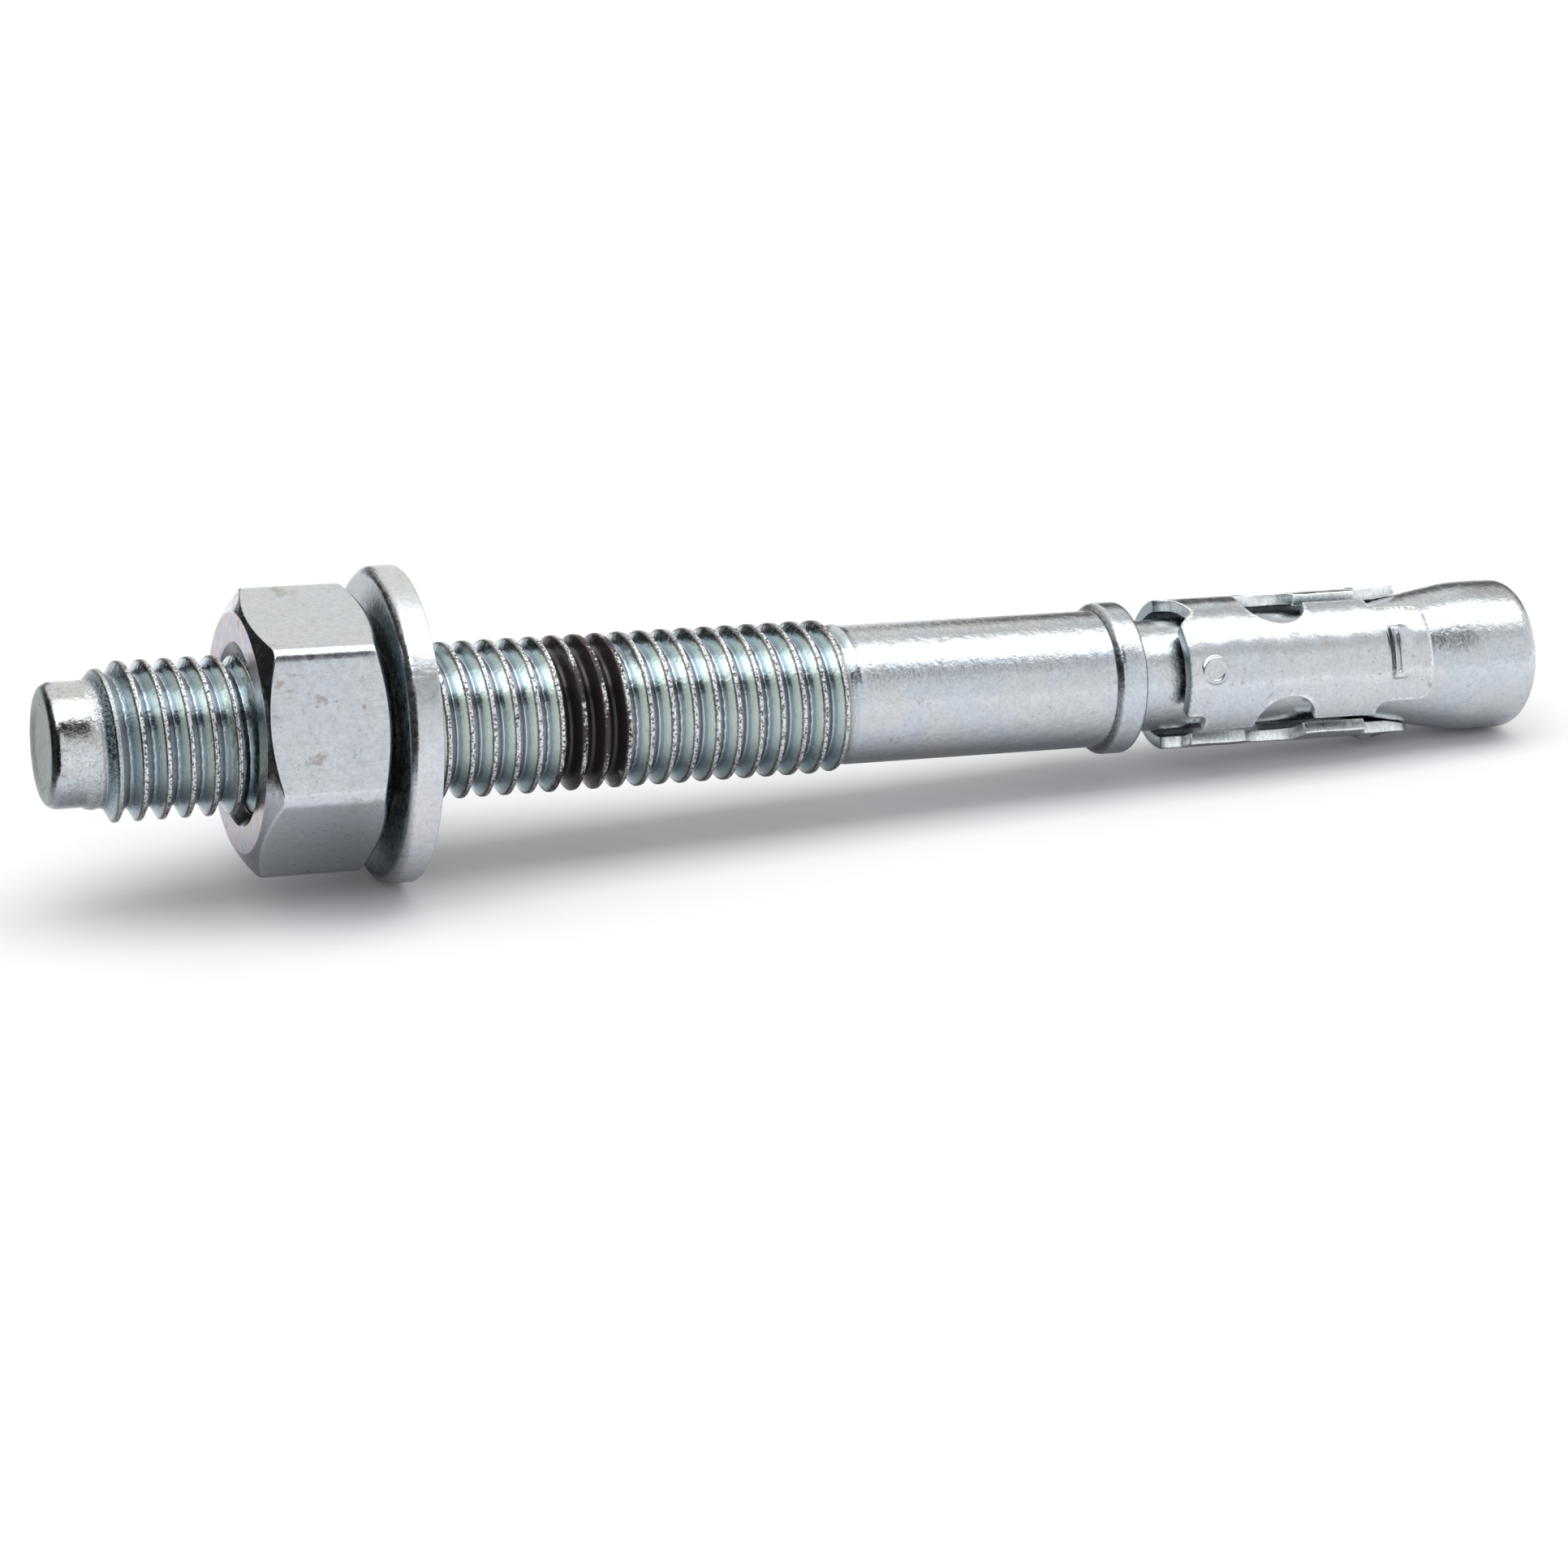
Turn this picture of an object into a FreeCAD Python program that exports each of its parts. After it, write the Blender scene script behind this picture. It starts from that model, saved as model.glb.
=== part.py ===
import FreeCAD, Part
import math
import os
import Sketcher

# A steel through-bolt expansion anchor, 12 mm nominal size.
# The bolt's axis is X while the pieces are made, from the thread end at X = 0 to the cone end.
# At the end the four pieces are laid down together as the anchor comes to rest on a flat surface.

doc = FreeCAD.newDocument("Anchor")

# Driving dimensions, in millimetres and degrees
SIZES = {
    # the stud, from its thread end to its cone end
    "dog_diameter": "9.3",
    "dog_length": "3.7",
    "dog_bevel": "0.5",
    "thread_diameter": "11.8",
    "thread_length": "57.9",
    "thread_runout": "0.8",
    "shank_diameter": "10.76",
    "shank_length": "21.8",
    "collar_diameter": "11.96",
    "collar_length": "2.45",
    "collar_round": "0.4",
    "neck_diameter": "8.8",
    "neck_bevel": "0.5",
    "cone_diameter": "12.0",
    "cone_half_angle": "9.5",
    "land_length": "3.85",
    "nose_round": "1.4",
    # the hexagon nut
    "nut_start": "14.5",
    "nut_height": "10.05",
    "nut_across_flats": "18.9",
    "nut_corner_round": "0.8",
    "nut_face_margin": "0.5",
    "nut_chamfer_angle": "30",
    "nut_countersink": "0.5",
    "thread_clearance": "0.05",
    "nut_turn": "8.6",
    # the plain washer
    "washer_seat": "0.05",
    "washer_diameter": "23.7",
    "washer_thickness": "2.35",
    "washer_play": "0.6",
    "washer_bevel": "0.3",
    # the expansion sleeve, a stamped sheet rolled round the neck
    "sleeve_length": "21.6",
    "sleeve_end_play": "3.55",
    "sleeve_lap": "5.1",
    "sleeve_play": "0.55",
    "sheet_thickness": "1.0",
    "cone_clearance": "0.05",
    "hole_centre": "8.9",
    "hole_width": "5.2",
    "hole_length": "5.9",
    "slot_width": "1.5",
    "tab_length": "4.65",
    "tab_gap": "4.0",
    "tab_corner_round": "1.2",
    "tab_root_round": "0.8",
    "notch_depth": "1.55",
    "notch_shoulder_depth": "0.95",
    "notch_steep_width": "2.6",
    "notch_steep_apex": "1.25",
    "notch_slow_apex": "1.45",
    "notch_slow_width": "2.7",
    "seam_near": "0.2",
    "seam_far": "2.1",
    "seam_spread": "0.45",
    "relief_depth": "1.8",
    "relief_near": "1.75",
    "relief_far": "3.7",
    "relief_round": "0.6",
    "barb_start": "17.9",
    "barb_length": "2.3",
    "barb_height": "0.3",
    "barb_sweep": "38",
    "button_centre": "2.2",
    "button_diameter": "2.4",
    "button_height": "0.15",
    "sleeve_turn": "64.4",
}

# Places along the axis and radii that follow from the driving dimensions
PLACES = {
    "thread_end": "=Sizes.dog_length + Sizes.thread_length",
    "collar_start": "=thread_end + Sizes.shank_length",
    "collar_end": "=collar_start + Sizes.collar_length",
    "sleeve_start": "=collar_end + Sizes.sleeve_end_play",
    "sleeve_end": "=sleeve_start + Sizes.sleeve_length",
    "cone_start": "=sleeve_end - Sizes.sleeve_lap",
    "cone_rise": "=(Sizes.cone_diameter - Sizes.neck_diameter) / 2",
    "land_start": "=cone_start + cone_rise / tan(Sizes.cone_half_angle * 1 deg)",
    "stud_end": "=land_start + Sizes.land_length + Sizes.nose_round",
    "sleeve_inner": "=Sizes.neck_diameter / 2 + Sizes.sleeve_play",
    "sleeve_outer": "=sleeve_inner + Sizes.sheet_thickness",
    "tab_start": "=sleeve_end - Sizes.tab_length",
    "half_tab_gap": "=Sizes.tab_gap / 2",
    "wide_tab_gap": "=half_tab_gap + Sizes.seam_spread",
    "relief_end": "=sleeve_start + Sizes.relief_depth",
    "nut_end": "=Sizes.nut_start + Sizes.nut_height",
    "nut_bore": "=Sizes.thread_diameter / 2 + Sizes.thread_clearance",
    "washer_start": "=nut_end + Sizes.washer_seat",
    "washer_end": "=washer_start + Sizes.washer_thickness",
}


def make_sheet(name, cells):
    """A spreadsheet with one alias for each row of its first column."""
    sheet = doc.addObject("Spreadsheet::Sheet", name)
    for row, (alias, content) in enumerate(cells.items(), start=1):
        sheet.set(f"A{row}", content)
        sheet.setAlias(f"A{row}", alias)
    doc.recompute()
    return sheet


sizes = make_sheet("Sizes", SIZES)
places = make_sheet("Places", PLACES)


def value(name):
    """The number that a cell of the two sheets holds now."""
    sheet = sizes if name in SIZES else places
    return float(sheet.get(name))


def drive(feature, **formulas):
    """Bind properties of a feature to formulas of the two sheets."""
    for name, formula in formulas.items():
        feature.setExpression(name, formula)


def new_body(name):
    """An empty body whose label is the name of its piece."""
    body = doc.addObject("PartDesign::Body", name)
    body.Label = name
    return body


def new_sketch(body, plane, name, about_axis=0.0, along=None):
    """A sketch on one of the body's own planes, turned about the X axis or moved out along its normal."""
    sketch = body.newObject("Sketcher::SketchObject", name)
    support = next(item for item in body.Origin.OriginFeatures if item.Role == plane)
    sketch.AttachmentSupport = [(support, "")]
    sketch.MapMode = "FlatFace"
    turn = FreeCAD.Rotation(FreeCAD.Vector(1, 0, 0), about_axis)
    sketch.AttachmentOffset = FreeCAD.Placement(FreeCAD.Vector(0, 0, 0), turn)
    if along:
        sketch.setExpression("AttachmentOffset.Base.z", along)
    return sketch


def hold(sketch, kind, formula, start, *elements):
    """A measured constraint that keeps to a formula of the two sheets."""
    number = sketch.addConstraint(Sketcher.Constraint(kind, *elements, start))
    sketch.setExpression(f"Constraints[{number}]", formula)


def outline(sketch, corners):
    """A closed ring of straight edges whose corners are held by formulas.

    The ring starts as a regular polygon, and the formulas then move its corners into place.
    """
    first = sketch.GeometryCount
    step = 2 * math.pi / len(corners)
    spots = [FreeCAD.Vector(math.cos(step * index), math.sin(step * index), 0) for index in range(len(corners))]
    for index, spot in enumerate(spots):
        sketch.addGeometry(Part.LineSegment(spot, spots[index - len(spots) + 1]), False)
    for index, (across, up) in enumerate(corners):
        edge = first + index
        previous = first + (index - 1) % len(corners)
        sketch.addConstraint(Sketcher.Constraint("Coincident", previous, 2, edge, 1))
        hold(sketch, "DistanceX", across, spots[index].x, -1, 1, edge, 1)
        hold(sketch, "DistanceY", up, spots[index].y, -1, 1, edge, 1)


def circle(sketch, across, diameter):
    """A circle centred on the sketch's horizontal axis."""
    ring = Part.Circle(FreeCAD.Vector(1, 0, 0), FreeCAD.Vector(0, 0, 1), 1)
    edge = sketch.addGeometry(ring, False)
    sketch.addConstraint(Sketcher.Constraint("PointOnObject", edge, 3, -1))
    hold(sketch, "DistanceX", across, 1, -1, 1, edge, 3)
    hold(sketch, "Diameter", diameter, 2, edge)


def obround(sketch, across, up, width, length):
    """A ring of two half circles and two straight sides, its long way up the sketch."""
    radius, half = 1.0, 0.5
    normal = FreeCAD.Vector(0, 0, 1)
    upper = Part.Circle(FreeCAD.Vector(3, half, 0), normal, radius)
    lower = Part.Circle(FreeCAD.Vector(3, -half, 0), normal, radius)
    right = Part.LineSegment(FreeCAD.Vector(4, -half, 0), FreeCAD.Vector(4, half, 0))
    left = Part.LineSegment(FreeCAD.Vector(2, half, 0), FreeCAD.Vector(2, -half, 0))
    ring = (
        sketch.addGeometry(right, False),
        sketch.addGeometry(Part.ArcOfCircle(upper, 0, math.pi), False),
        sketch.addGeometry(left, False),
        sketch.addGeometry(Part.ArcOfCircle(lower, math.pi, 2 * math.pi), False),
    )
    for index, edge in enumerate(ring):
        sketch.addConstraint(Sketcher.Constraint("Tangent", ring[index - 1], 2, edge, 1))
    sketch.addConstraint(Sketcher.Constraint("Equal", ring[1], ring[3]))
    for edge, sign, start in ((ring[1], "+", half), (ring[3], "-", -half)):
        hold(sketch, "DistanceX", across, 3, -1, 1, edge, 3)
        hold(sketch, "DistanceY", f"{up} {sign} ({length} - {width}) / 2", start, -1, 1, edge, 3)
    hold(sketch, "Diameter", width, 2 * radius, ring[1])


def turned(body, sketch, name, kind="PartDesign::Revolution", sweep=None):
    """A solid or a cut turned about the bolt's axis, a full turn or a sweep with its middle in the sketch."""
    feature = body.newObject(kind, name)
    feature.Profile = sketch
    feature.ReferenceAxis = (sketch, ["H_Axis"])
    feature.Angle = 360
    if sweep:
        feature.Midplane = True
        feature.setExpression("Angle", sweep)
    doc.recompute()
    return feature


def cut_outwards(body, sketch, name):
    """A pocket from the axis out through the wall that the sketch faces."""
    before = body.Shape.Volume
    pocket = body.newObject("PartDesign::Pocket", name)
    pocket.Profile = sketch
    pocket.Reversed = True
    pocket.Type = "ThroughAll"
    doc.recompute()
    if not pocket.Shape.Volume < before:
        raise RuntimeError(name + " cuts nothing")
    return pocket


def three_fold(body, name, originals):
    """Copies of the features at thirds of a turn about the bolt's axis."""
    pattern = body.newObject("PartDesign::PolarPattern", name)
    pattern.Originals = originals
    axis = next(item for item in body.Origin.OriginFeatures if item.Role == "X_Axis")
    pattern.Axis = (axis, [""])
    pattern.Angle = 360
    pattern.Occurrences = 3
    body.Tip = pattern
    doc.recompute()
    return pattern


def rounded(body, name, radius, wanted):
    """A fillet on each edge of the body's tip that the test wants."""
    base = body.Tip
    names = [f"Edge{number}" for number, edge in enumerate(base.Shape.Edges, start=1) if wanted(edge)]
    if not names:
        raise RuntimeError(name + " finds no edge")
    fillet = body.newObject("PartDesign::Fillet", name)
    fillet.Base = (base, names)
    fillet.setExpression("Radius", radius)
    doc.recompute()
    if fillet.Shape.isNull() or not fillet.Shape.isValid():
        raise RuntimeError(name + " has no room")
    return fillet


def rim(along, diameter):
    """A test for a full circle about the axis, at a place along it and of a diameter."""
    spot, radius = value(along), value(diameter) / 2

    def wanted(edge):
        if not isinstance(edge.Curve, Part.Circle):
            return False
        near = abs(edge.Curve.Center.x - spot) < 1e-4 and abs(edge.Curve.Radius - radius) < 1e-4
        return near and edge.isClosed()

    return wanted


def make_stud():
    """The bolt: dog point, thread, shank, collar, neck and cone, one cold-formed piece."""
    body = new_body("stud")
    sketch = new_sketch(body, "XY_Plane", "stud_half_section")
    outline(sketch, [
        ("0", "0"),
        ("0", "Sizes.dog_diameter / 2 - Sizes.dog_bevel"),
        ("Sizes.dog_bevel", "Sizes.dog_diameter / 2"),
        ("Sizes.dog_length", "Sizes.dog_diameter / 2"),
        ("Sizes.dog_length + (Sizes.thread_diameter - Sizes.dog_diameter) / 2", "Sizes.thread_diameter / 2"),
        ("Places.thread_end - Sizes.thread_runout", "Sizes.thread_diameter / 2"),
        ("Places.thread_end", "Sizes.shank_diameter / 2"),
        ("Places.collar_start", "Sizes.shank_diameter / 2"),
        ("Places.collar_start", "Sizes.collar_diameter / 2"),
        ("Places.collar_end", "Sizes.collar_diameter / 2"),
        ("Places.collar_end", "Sizes.neck_diameter / 2 + Sizes.neck_bevel"),
        ("Places.collar_end + Sizes.neck_bevel", "Sizes.neck_diameter / 2"),
        ("Places.cone_start", "Sizes.neck_diameter / 2"),
        ("Places.land_start", "Sizes.cone_diameter / 2"),
        ("Places.stud_end", "Sizes.cone_diameter / 2"),
        ("Places.stud_end", "0"),
    ])
    turned(body, sketch, "stud_turning")
    collar_rims = (
        rim("collar_start", "collar_diameter"),
        rim("collar_end", "collar_diameter"),
    )
    rounded(body, "collar_rounding", "Sizes.collar_round", lambda edge: any(test(edge) for test in collar_rims))
    rounded(body, "nose_rounding", "Sizes.nose_round", rim("stud_end", "cone_diameter"))
    return body


def make_nut():
    """The hexagon nut, chamfered at both ends, with a countersunk bore that clears the thread."""
    body = new_body("nut")
    hexagon = new_sketch(body, "YZ_Plane", "nut_hexagon", along="Sizes.nut_start")
    corner_radius = "Sizes.nut_across_flats / sqrt(3)"
    outline(hexagon, [
        (f"{corner_radius} * cos({60 * side} deg)", f"{corner_radius} * sin({60 * side} deg)")
        for side in range(6)
    ])
    block = body.newObject("PartDesign::Pad", "nut_block")
    block.Profile = hexagon
    drive(block, Length="Sizes.nut_height")
    doc.recompute()

    def along_axis(edge):
        return abs(edge.tangentAt(edge.FirstParameter).x) > 0.99

    rounded(body, "nut_corner_rounding", "Sizes.nut_corner_round", along_axis)

    chamfer = new_sketch(body, "XY_Plane", "nut_chamfer_section")
    face_radius = "(Sizes.nut_across_flats / 2 - Sizes.nut_face_margin)"
    outside = "(Sizes.nut_across_flats / sqrt(3) + 1)"
    run = f"({outside} - {face_radius}) * tan(Sizes.nut_chamfer_angle * 1 deg)"
    for end, sign in (("Sizes.nut_start", "+"), ("Places.nut_end", "-")):
        outline(chamfer, [(end, face_radius), (end, outside), (f"{end} {sign} {run}", outside)])
    turned(body, chamfer, "nut_chamfers", "PartDesign::Groove")

    bore = new_sketch(body, "XY_Plane", "nut_bore_section")
    mouth = "Places.nut_bore + Sizes.nut_countersink"
    outline(bore, [
        ("Sizes.nut_start", "0"),
        ("Sizes.nut_start", mouth),
        ("Sizes.nut_start + Sizes.nut_countersink", "Places.nut_bore"),
        ("Places.nut_end - Sizes.nut_countersink", "Places.nut_bore"),
        ("Places.nut_end", mouth),
        ("Places.nut_end", "0"),
    ])
    turned(body, bore, "nut_bore", "PartDesign::Groove")
    return body


def make_washer():
    """The plain washer: a punched disc, its rim rolled over on the nut's side."""
    body = new_body("washer")
    sketch = new_sketch(body, "XY_Plane", "washer_half_section")
    inner = "Sizes.thread_diameter / 2 + Sizes.washer_play"
    outline(sketch, [
        ("Places.washer_start", inner),
        ("Places.washer_start", "Sizes.washer_diameter / 2 - Sizes.washer_bevel"),
        ("Places.washer_start + Sizes.washer_bevel", "Sizes.washer_diameter / 2"),
        ("Places.washer_end", "Sizes.washer_diameter / 2"),
        ("Places.washer_end", inner),
    ])
    turned(body, sketch, "washer_disc")
    return body


# Directions of the three slots about the axis, from the middle of the front panel. The seam is one of them.
SLOT_ANGLES = (-60, 60, 180)
SEAM_ANGLE = SLOT_ANGLES[0]
BUTTON_ANGLE = -5.5


def across_wall(along, corners):
    """A test for an edge through the sheet's wall, at a place along the axis and one of several corners.

    A corner is the angle of a slot's middle and a signed offset from it.
    """
    spot = value(along)

    def wanted(edge):
        for angle, offset in corners:
            turn = math.radians(angle)
            misses = [
                abs(point.X - spot) + abs(point.Y * math.cos(turn) - point.Z * math.sin(turn) - offset)
                for point in edge.Vertexes
            ]
            if len(misses) == 2 and max(misses) < 1e-3:
                return True
        return False

    return wanted


def make_sleeve():
    """The expansion sleeve: one stamped sheet rolled round the neck, slit into three panels with tabs."""
    body = new_body("expansion_sleeve")
    section = new_sketch(body, "XZ_Plane", "sleeve_half_section")
    slope = "tan(Sizes.cone_half_angle * 1 deg)"
    neck_to_wall = "(Places.sleeve_inner - Sizes.neck_diameter / 2 - Sizes.cone_clearance)"
    tip_inner = f"Sizes.neck_diameter / 2 + Sizes.sleeve_lap * {slope} + Sizes.cone_clearance"
    outline(section, [
        ("Places.sleeve_start", "Places.sleeve_inner"),
        ("Places.sleeve_start", "Places.sleeve_outer"),
        ("Places.sleeve_end", "Places.sleeve_outer"),
        ("Places.sleeve_end", tip_inner),
        (f"Places.cone_start + {neck_to_wall} / {slope}", "Places.sleeve_inner"),
    ])
    turned(body, section, "sleeve_tube")

    # a raised barb across each tab, steep towards the thread end
    barb_section = new_sketch(body, "XZ_Plane", "barb_section")
    barb_foot = "Places.sleeve_start + Sizes.barb_start"
    root = "Places.sleeve_outer - Sizes.barb_height"
    outline(barb_section, [
        (barb_foot, root),
        (barb_foot, "Places.sleeve_outer + Sizes.barb_height"),
        (f"{barb_foot} + Sizes.barb_length", "Places.sleeve_outer"),
        (f"{barb_foot} + Sizes.barb_length", root),
    ])
    barb = turned(body, barb_section, "barb", sweep="Sizes.barb_sweep")
    three_fold(body, "barbs", [barb])

    # a plain raised button near the front panel's rear edge
    button_sketch = new_sketch(body, "XY_Plane", "button_outline", about_axis=-BUTTON_ANGLE, along="Places.sleeve_inner")
    circle(button_sketch, "Places.sleeve_start + Sizes.button_centre", "Sizes.button_diameter")
    button = body.newObject("PartDesign::Pad", "button")
    button.Profile = button_sketch
    drive(button, Length="Sizes.sheet_thickness + Sizes.button_height")
    doc.recompute()

    # the slits: a hole at the root, the slot, and the wider gap between neighbouring tabs
    before = "Places.sleeve_start - 1"
    beyond = "Places.sleeve_end + 1"
    middle = "Places.sleeve_start + Sizes.hole_centre"
    hole_sketch = new_sketch(body, "XY_Plane", "hole_outline", about_axis=-SLOT_ANGLES[2])
    obround(hole_sketch, middle, "0", "Sizes.hole_width", "Sizes.hole_length")
    hole = cut_outwards(body, hole_sketch, "slit_hole")
    slit_sketch = new_sketch(body, "XY_Plane", "slit_outline", about_axis=-SLOT_ANGLES[2])
    outline(slit_sketch, [
        (middle, "-Sizes.slot_width / 2"),
        ("Places.tab_start", "-Sizes.slot_width / 2"),
        ("Places.tab_start", "-Places.half_tab_gap"),
        (beyond, "-Places.half_tab_gap"),
        (beyond, "Places.half_tab_gap"),
        ("Places.tab_start", "Places.half_tab_gap"),
        ("Places.tab_start", "Sizes.slot_width / 2"),
        (middle, "Sizes.slot_width / 2"),
    ])
    slit = cut_outwards(body, slit_sketch, "slit")
    three_fold(body, "slits", [hole, slit])

    # relief notches in the rear edge at the two closed bridges, steep on one side
    for angle in SLOT_ANGLES[1:]:
        notch_sketch = new_sketch(body, "XY_Plane", f"notch_outline_{angle}", about_axis=-angle)
        outline(notch_sketch, [
            (before, "-Sizes.notch_steep_width"),
            ("Places.sleeve_start", "-Sizes.notch_steep_width"),
            ("Places.sleeve_start + Sizes.notch_depth", "-Sizes.notch_steep_apex"),
            ("Places.sleeve_start + Sizes.notch_shoulder_depth", "Sizes.notch_slow_apex"),
            ("Places.sleeve_start", "Sizes.notch_slow_width"),
            (before, "Sizes.notch_slow_width"),
        ])
        cut_outwards(body, notch_sketch, f"notch_{angle}")

    # the open seam: the lower end of the sheet stands off, and its edges lie further round by the spread
    far_hole_sketch = new_sketch(body, "XY_Plane", "seam_hole_outline", about_axis=-SEAM_ANGLE)
    obround(far_hole_sketch, middle, "-Sizes.seam_spread", "Sizes.hole_width", "Sizes.hole_length")
    cut_outwards(body, far_hole_sketch, "seam_hole")
    seam_sketch = new_sketch(body, "XY_Plane", "seam_outline", about_axis=-SEAM_ANGLE)
    outline(seam_sketch, [
        (before, "Sizes.seam_near"),
        (beyond, "Sizes.seam_near"),
        (beyond, "-Places.wide_tab_gap"),
        ("Places.tab_start", "-Places.wide_tab_gap"),
        ("Places.tab_start", "-Sizes.slot_width / 2 - Sizes.seam_spread"),
        (middle, "-Sizes.slot_width / 2 - Sizes.seam_spread"),
        (middle, "-Sizes.seam_far"),
        (before, "-Sizes.seam_far"),
    ])
    cut_outwards(body, seam_sketch, "seam")
    relief_sketch = new_sketch(body, "XY_Plane", "seam_relief_outline", about_axis=-SEAM_ANGLE)
    outline(relief_sketch, [
        (before, "-Sizes.relief_far"),
        ("Places.relief_end", "-Sizes.relief_far"),
        ("Places.relief_end", "Sizes.relief_near"),
        (before, "Sizes.relief_near"),
    ])
    cut_outwards(body, relief_sketch, "seam_relief")

    # rounded corners of the blank
    half_gap, wide_gap = value("half_tab_gap"), value("wide_tab_gap")
    tab_sides = [(angle, side * half_gap) for angle in SLOT_ANGLES for side in (-1, 1)]
    tab_sides[0] = (SEAM_ANGLE, -wide_gap)
    rounded(body, "tab_corners", "Sizes.tab_corner_round", across_wall("sleeve_end", tab_sides))
    rounded(body, "tab_roots", "Sizes.tab_root_round", across_wall("tab_start", tab_sides))
    relief_sides = [(SEAM_ANGLE, value("relief_near")), (SEAM_ANGLE, -value("relief_far"))]
    rounded(body, "seam_relief_corners", "Sizes.relief_round", across_wall("relief_end", relief_sides))
    return body


def rest_tilt():
    """How far the axis dips towards the cone when the washer's rim and the cone's land both touch the ground.

    The washer touches with its far rim. The cone touches where its land meets the rounded nose, so
    span * sin(tilt) + (land - nose) * cos(tilt) + nose = rim * cos(tilt).
    """
    nose = value("nose_round")
    span = value("stud_end") - nose - value("washer_end")
    drop = (value("washer_diameter") - value("cone_diameter")) / 2 + nose
    return math.degrees(math.atan2(drop, span) - math.asin(nose / math.hypot(span, drop)))


def lay_down(turns):
    """Tilt the pieces to their rest, each turned about the bolt's axis, with the origin under their middle."""
    tilt = FreeCAD.Rotation(FreeCAD.Vector(0, 1, 0), rest_tilt())
    bounds = FreeCAD.BoundBox()
    for body, turn in turns.items():
        spin = FreeCAD.Rotation(FreeCAD.Vector(1, 0, 0), turn)
        body.Placement = FreeCAD.Placement(FreeCAD.Vector(0, 0, 0), tilt * spin)
        bounds.add(body.Shape.optimalBoundingBox(False))
    base = FreeCAD.Vector(-bounds.Center.x, -bounds.Center.y, -bounds.ZMin)
    for body in turns:
        body.Placement = FreeCAD.Placement(base, body.Placement.Rotation)
    return base


stud = make_stud()
nut = make_nut()
washer = make_washer()
sleeve = make_sleeve()
bodies = (stud, nut, washer, sleeve)
doc.recompute()
origin = lay_down({stud: 0, nut: value("nut_turn"), washer: 0, sleeve: value("sleeve_turn")})
doc.recompute()

for item in doc.Objects:
    if {"Invalid", "Error"} & set(item.State):
        raise RuntimeError(f"{item.Name} failed: {item.State}")
for body in bodies:
    if body.Shape.isNull() or not body.Shape.isValid() or len(body.Shape.Solids) != 1:
        raise RuntimeError(body.Label + " is not one valid solid")

os.makedirs("parts", exist_ok=True)
for body in bodies:
    body.Shape.exportStep(f"parts/{body.Label}.step")
    box = body.Shape.optimalBoundingBox(False)
    print(f"{body.Label}: volume {body.Shape.Volume:.1f}, faces {len(body.Shape.Faces)}, "
          f"x {box.XMin:.2f} to {box.XMax:.2f}, z {box.ZMin:.3f} to {box.ZMax:.2f}")
print(f"thread end at {tuple(round(number, 4) for number in origin)}, tilt {rest_tilt():.4f}")
for name in PLACES:
    print(f"{name} {value(name):.3f}")
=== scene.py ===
# %% [markdown]
# # A through-bolt expansion anchor, dressed for the camera
# The anchor has four steel pieces: a threaded stud with a cone at its far end, a hexagon nut, a plain washer
# and a slit sleeve of sheet steel that sits loosely round the stud's neck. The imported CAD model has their
# exact places, so it is loaded first. Each piece could keep its CAD mesh, but a real thread, rolled edges and
# a stamped sheet need finer shapes. So each one is worked out again as a surface in numpy, in the place that
# the CAD gives it.

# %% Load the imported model
import math

import bmesh
import bpy
import numpy as np
from mathutils import Matrix, Vector
from mathutils.geometry import delaunay_2d_cdt


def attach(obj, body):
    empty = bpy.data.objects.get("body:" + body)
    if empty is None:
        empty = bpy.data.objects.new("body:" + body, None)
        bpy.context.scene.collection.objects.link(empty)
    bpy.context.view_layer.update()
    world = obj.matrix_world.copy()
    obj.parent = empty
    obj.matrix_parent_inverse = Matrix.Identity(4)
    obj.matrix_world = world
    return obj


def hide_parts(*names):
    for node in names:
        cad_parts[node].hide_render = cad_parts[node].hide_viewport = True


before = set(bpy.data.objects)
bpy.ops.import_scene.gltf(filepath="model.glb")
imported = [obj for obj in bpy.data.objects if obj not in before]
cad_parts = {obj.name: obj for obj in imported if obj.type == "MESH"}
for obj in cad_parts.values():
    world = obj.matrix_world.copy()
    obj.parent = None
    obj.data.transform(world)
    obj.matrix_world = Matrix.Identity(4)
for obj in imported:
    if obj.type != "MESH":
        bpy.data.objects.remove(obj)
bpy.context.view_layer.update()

# %% [markdown]
# ## The bolt's own coordinates
# Everything here was turned or rolled about one axis, so every piece is easiest to describe by three numbers:
# how far along the bolt a point lies, how far out from the axis, and at which angle round it. The anchor lies
# tilted on its washer and its cone. One function carries those three numbers to the tilted place, in metres.

# %% From bolt coordinates to the place in the scene
MM = 0.001
FULL_TURN = 2 * math.pi
THREAD_END = np.array([-60.2506, 0.0, 13.5291])
ALONG = np.array([0.9980021, 0.0, -0.0631807])
SIDE = np.array([0.0, 1.0, 0.0])
UP = np.array([0.0631807, 0.0, 0.9980021])


def in_place(x, r, angle):
    """thread end + x * along + r * (cos(angle) * side + sin(angle) * up), in metres."""
    x, r, angle = np.broadcast_arrays(x, r, angle)
    across = r * np.cos(angle)
    rise = r * np.sin(angle)
    return MM * (THREAD_END + x[..., None] * ALONG + across[..., None] * SIDE + rise[..., None] * UP)


print("axis dips", round(math.degrees(math.asin(-ALONG[2])), 2), "degrees towards the cone")

# %% [markdown]
# ## From a grid of points to a mesh
# A turned piece is a grid: rows follow its section, columns go round the axis, and the last column joins the
# first. Rows that meet at a pole or in a plane end up with doubled points, so these are merged afterwards,
# which also closes the skin. The numbers that the materials need later, such as the place along the bolt, are
# kept on the points.

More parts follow.
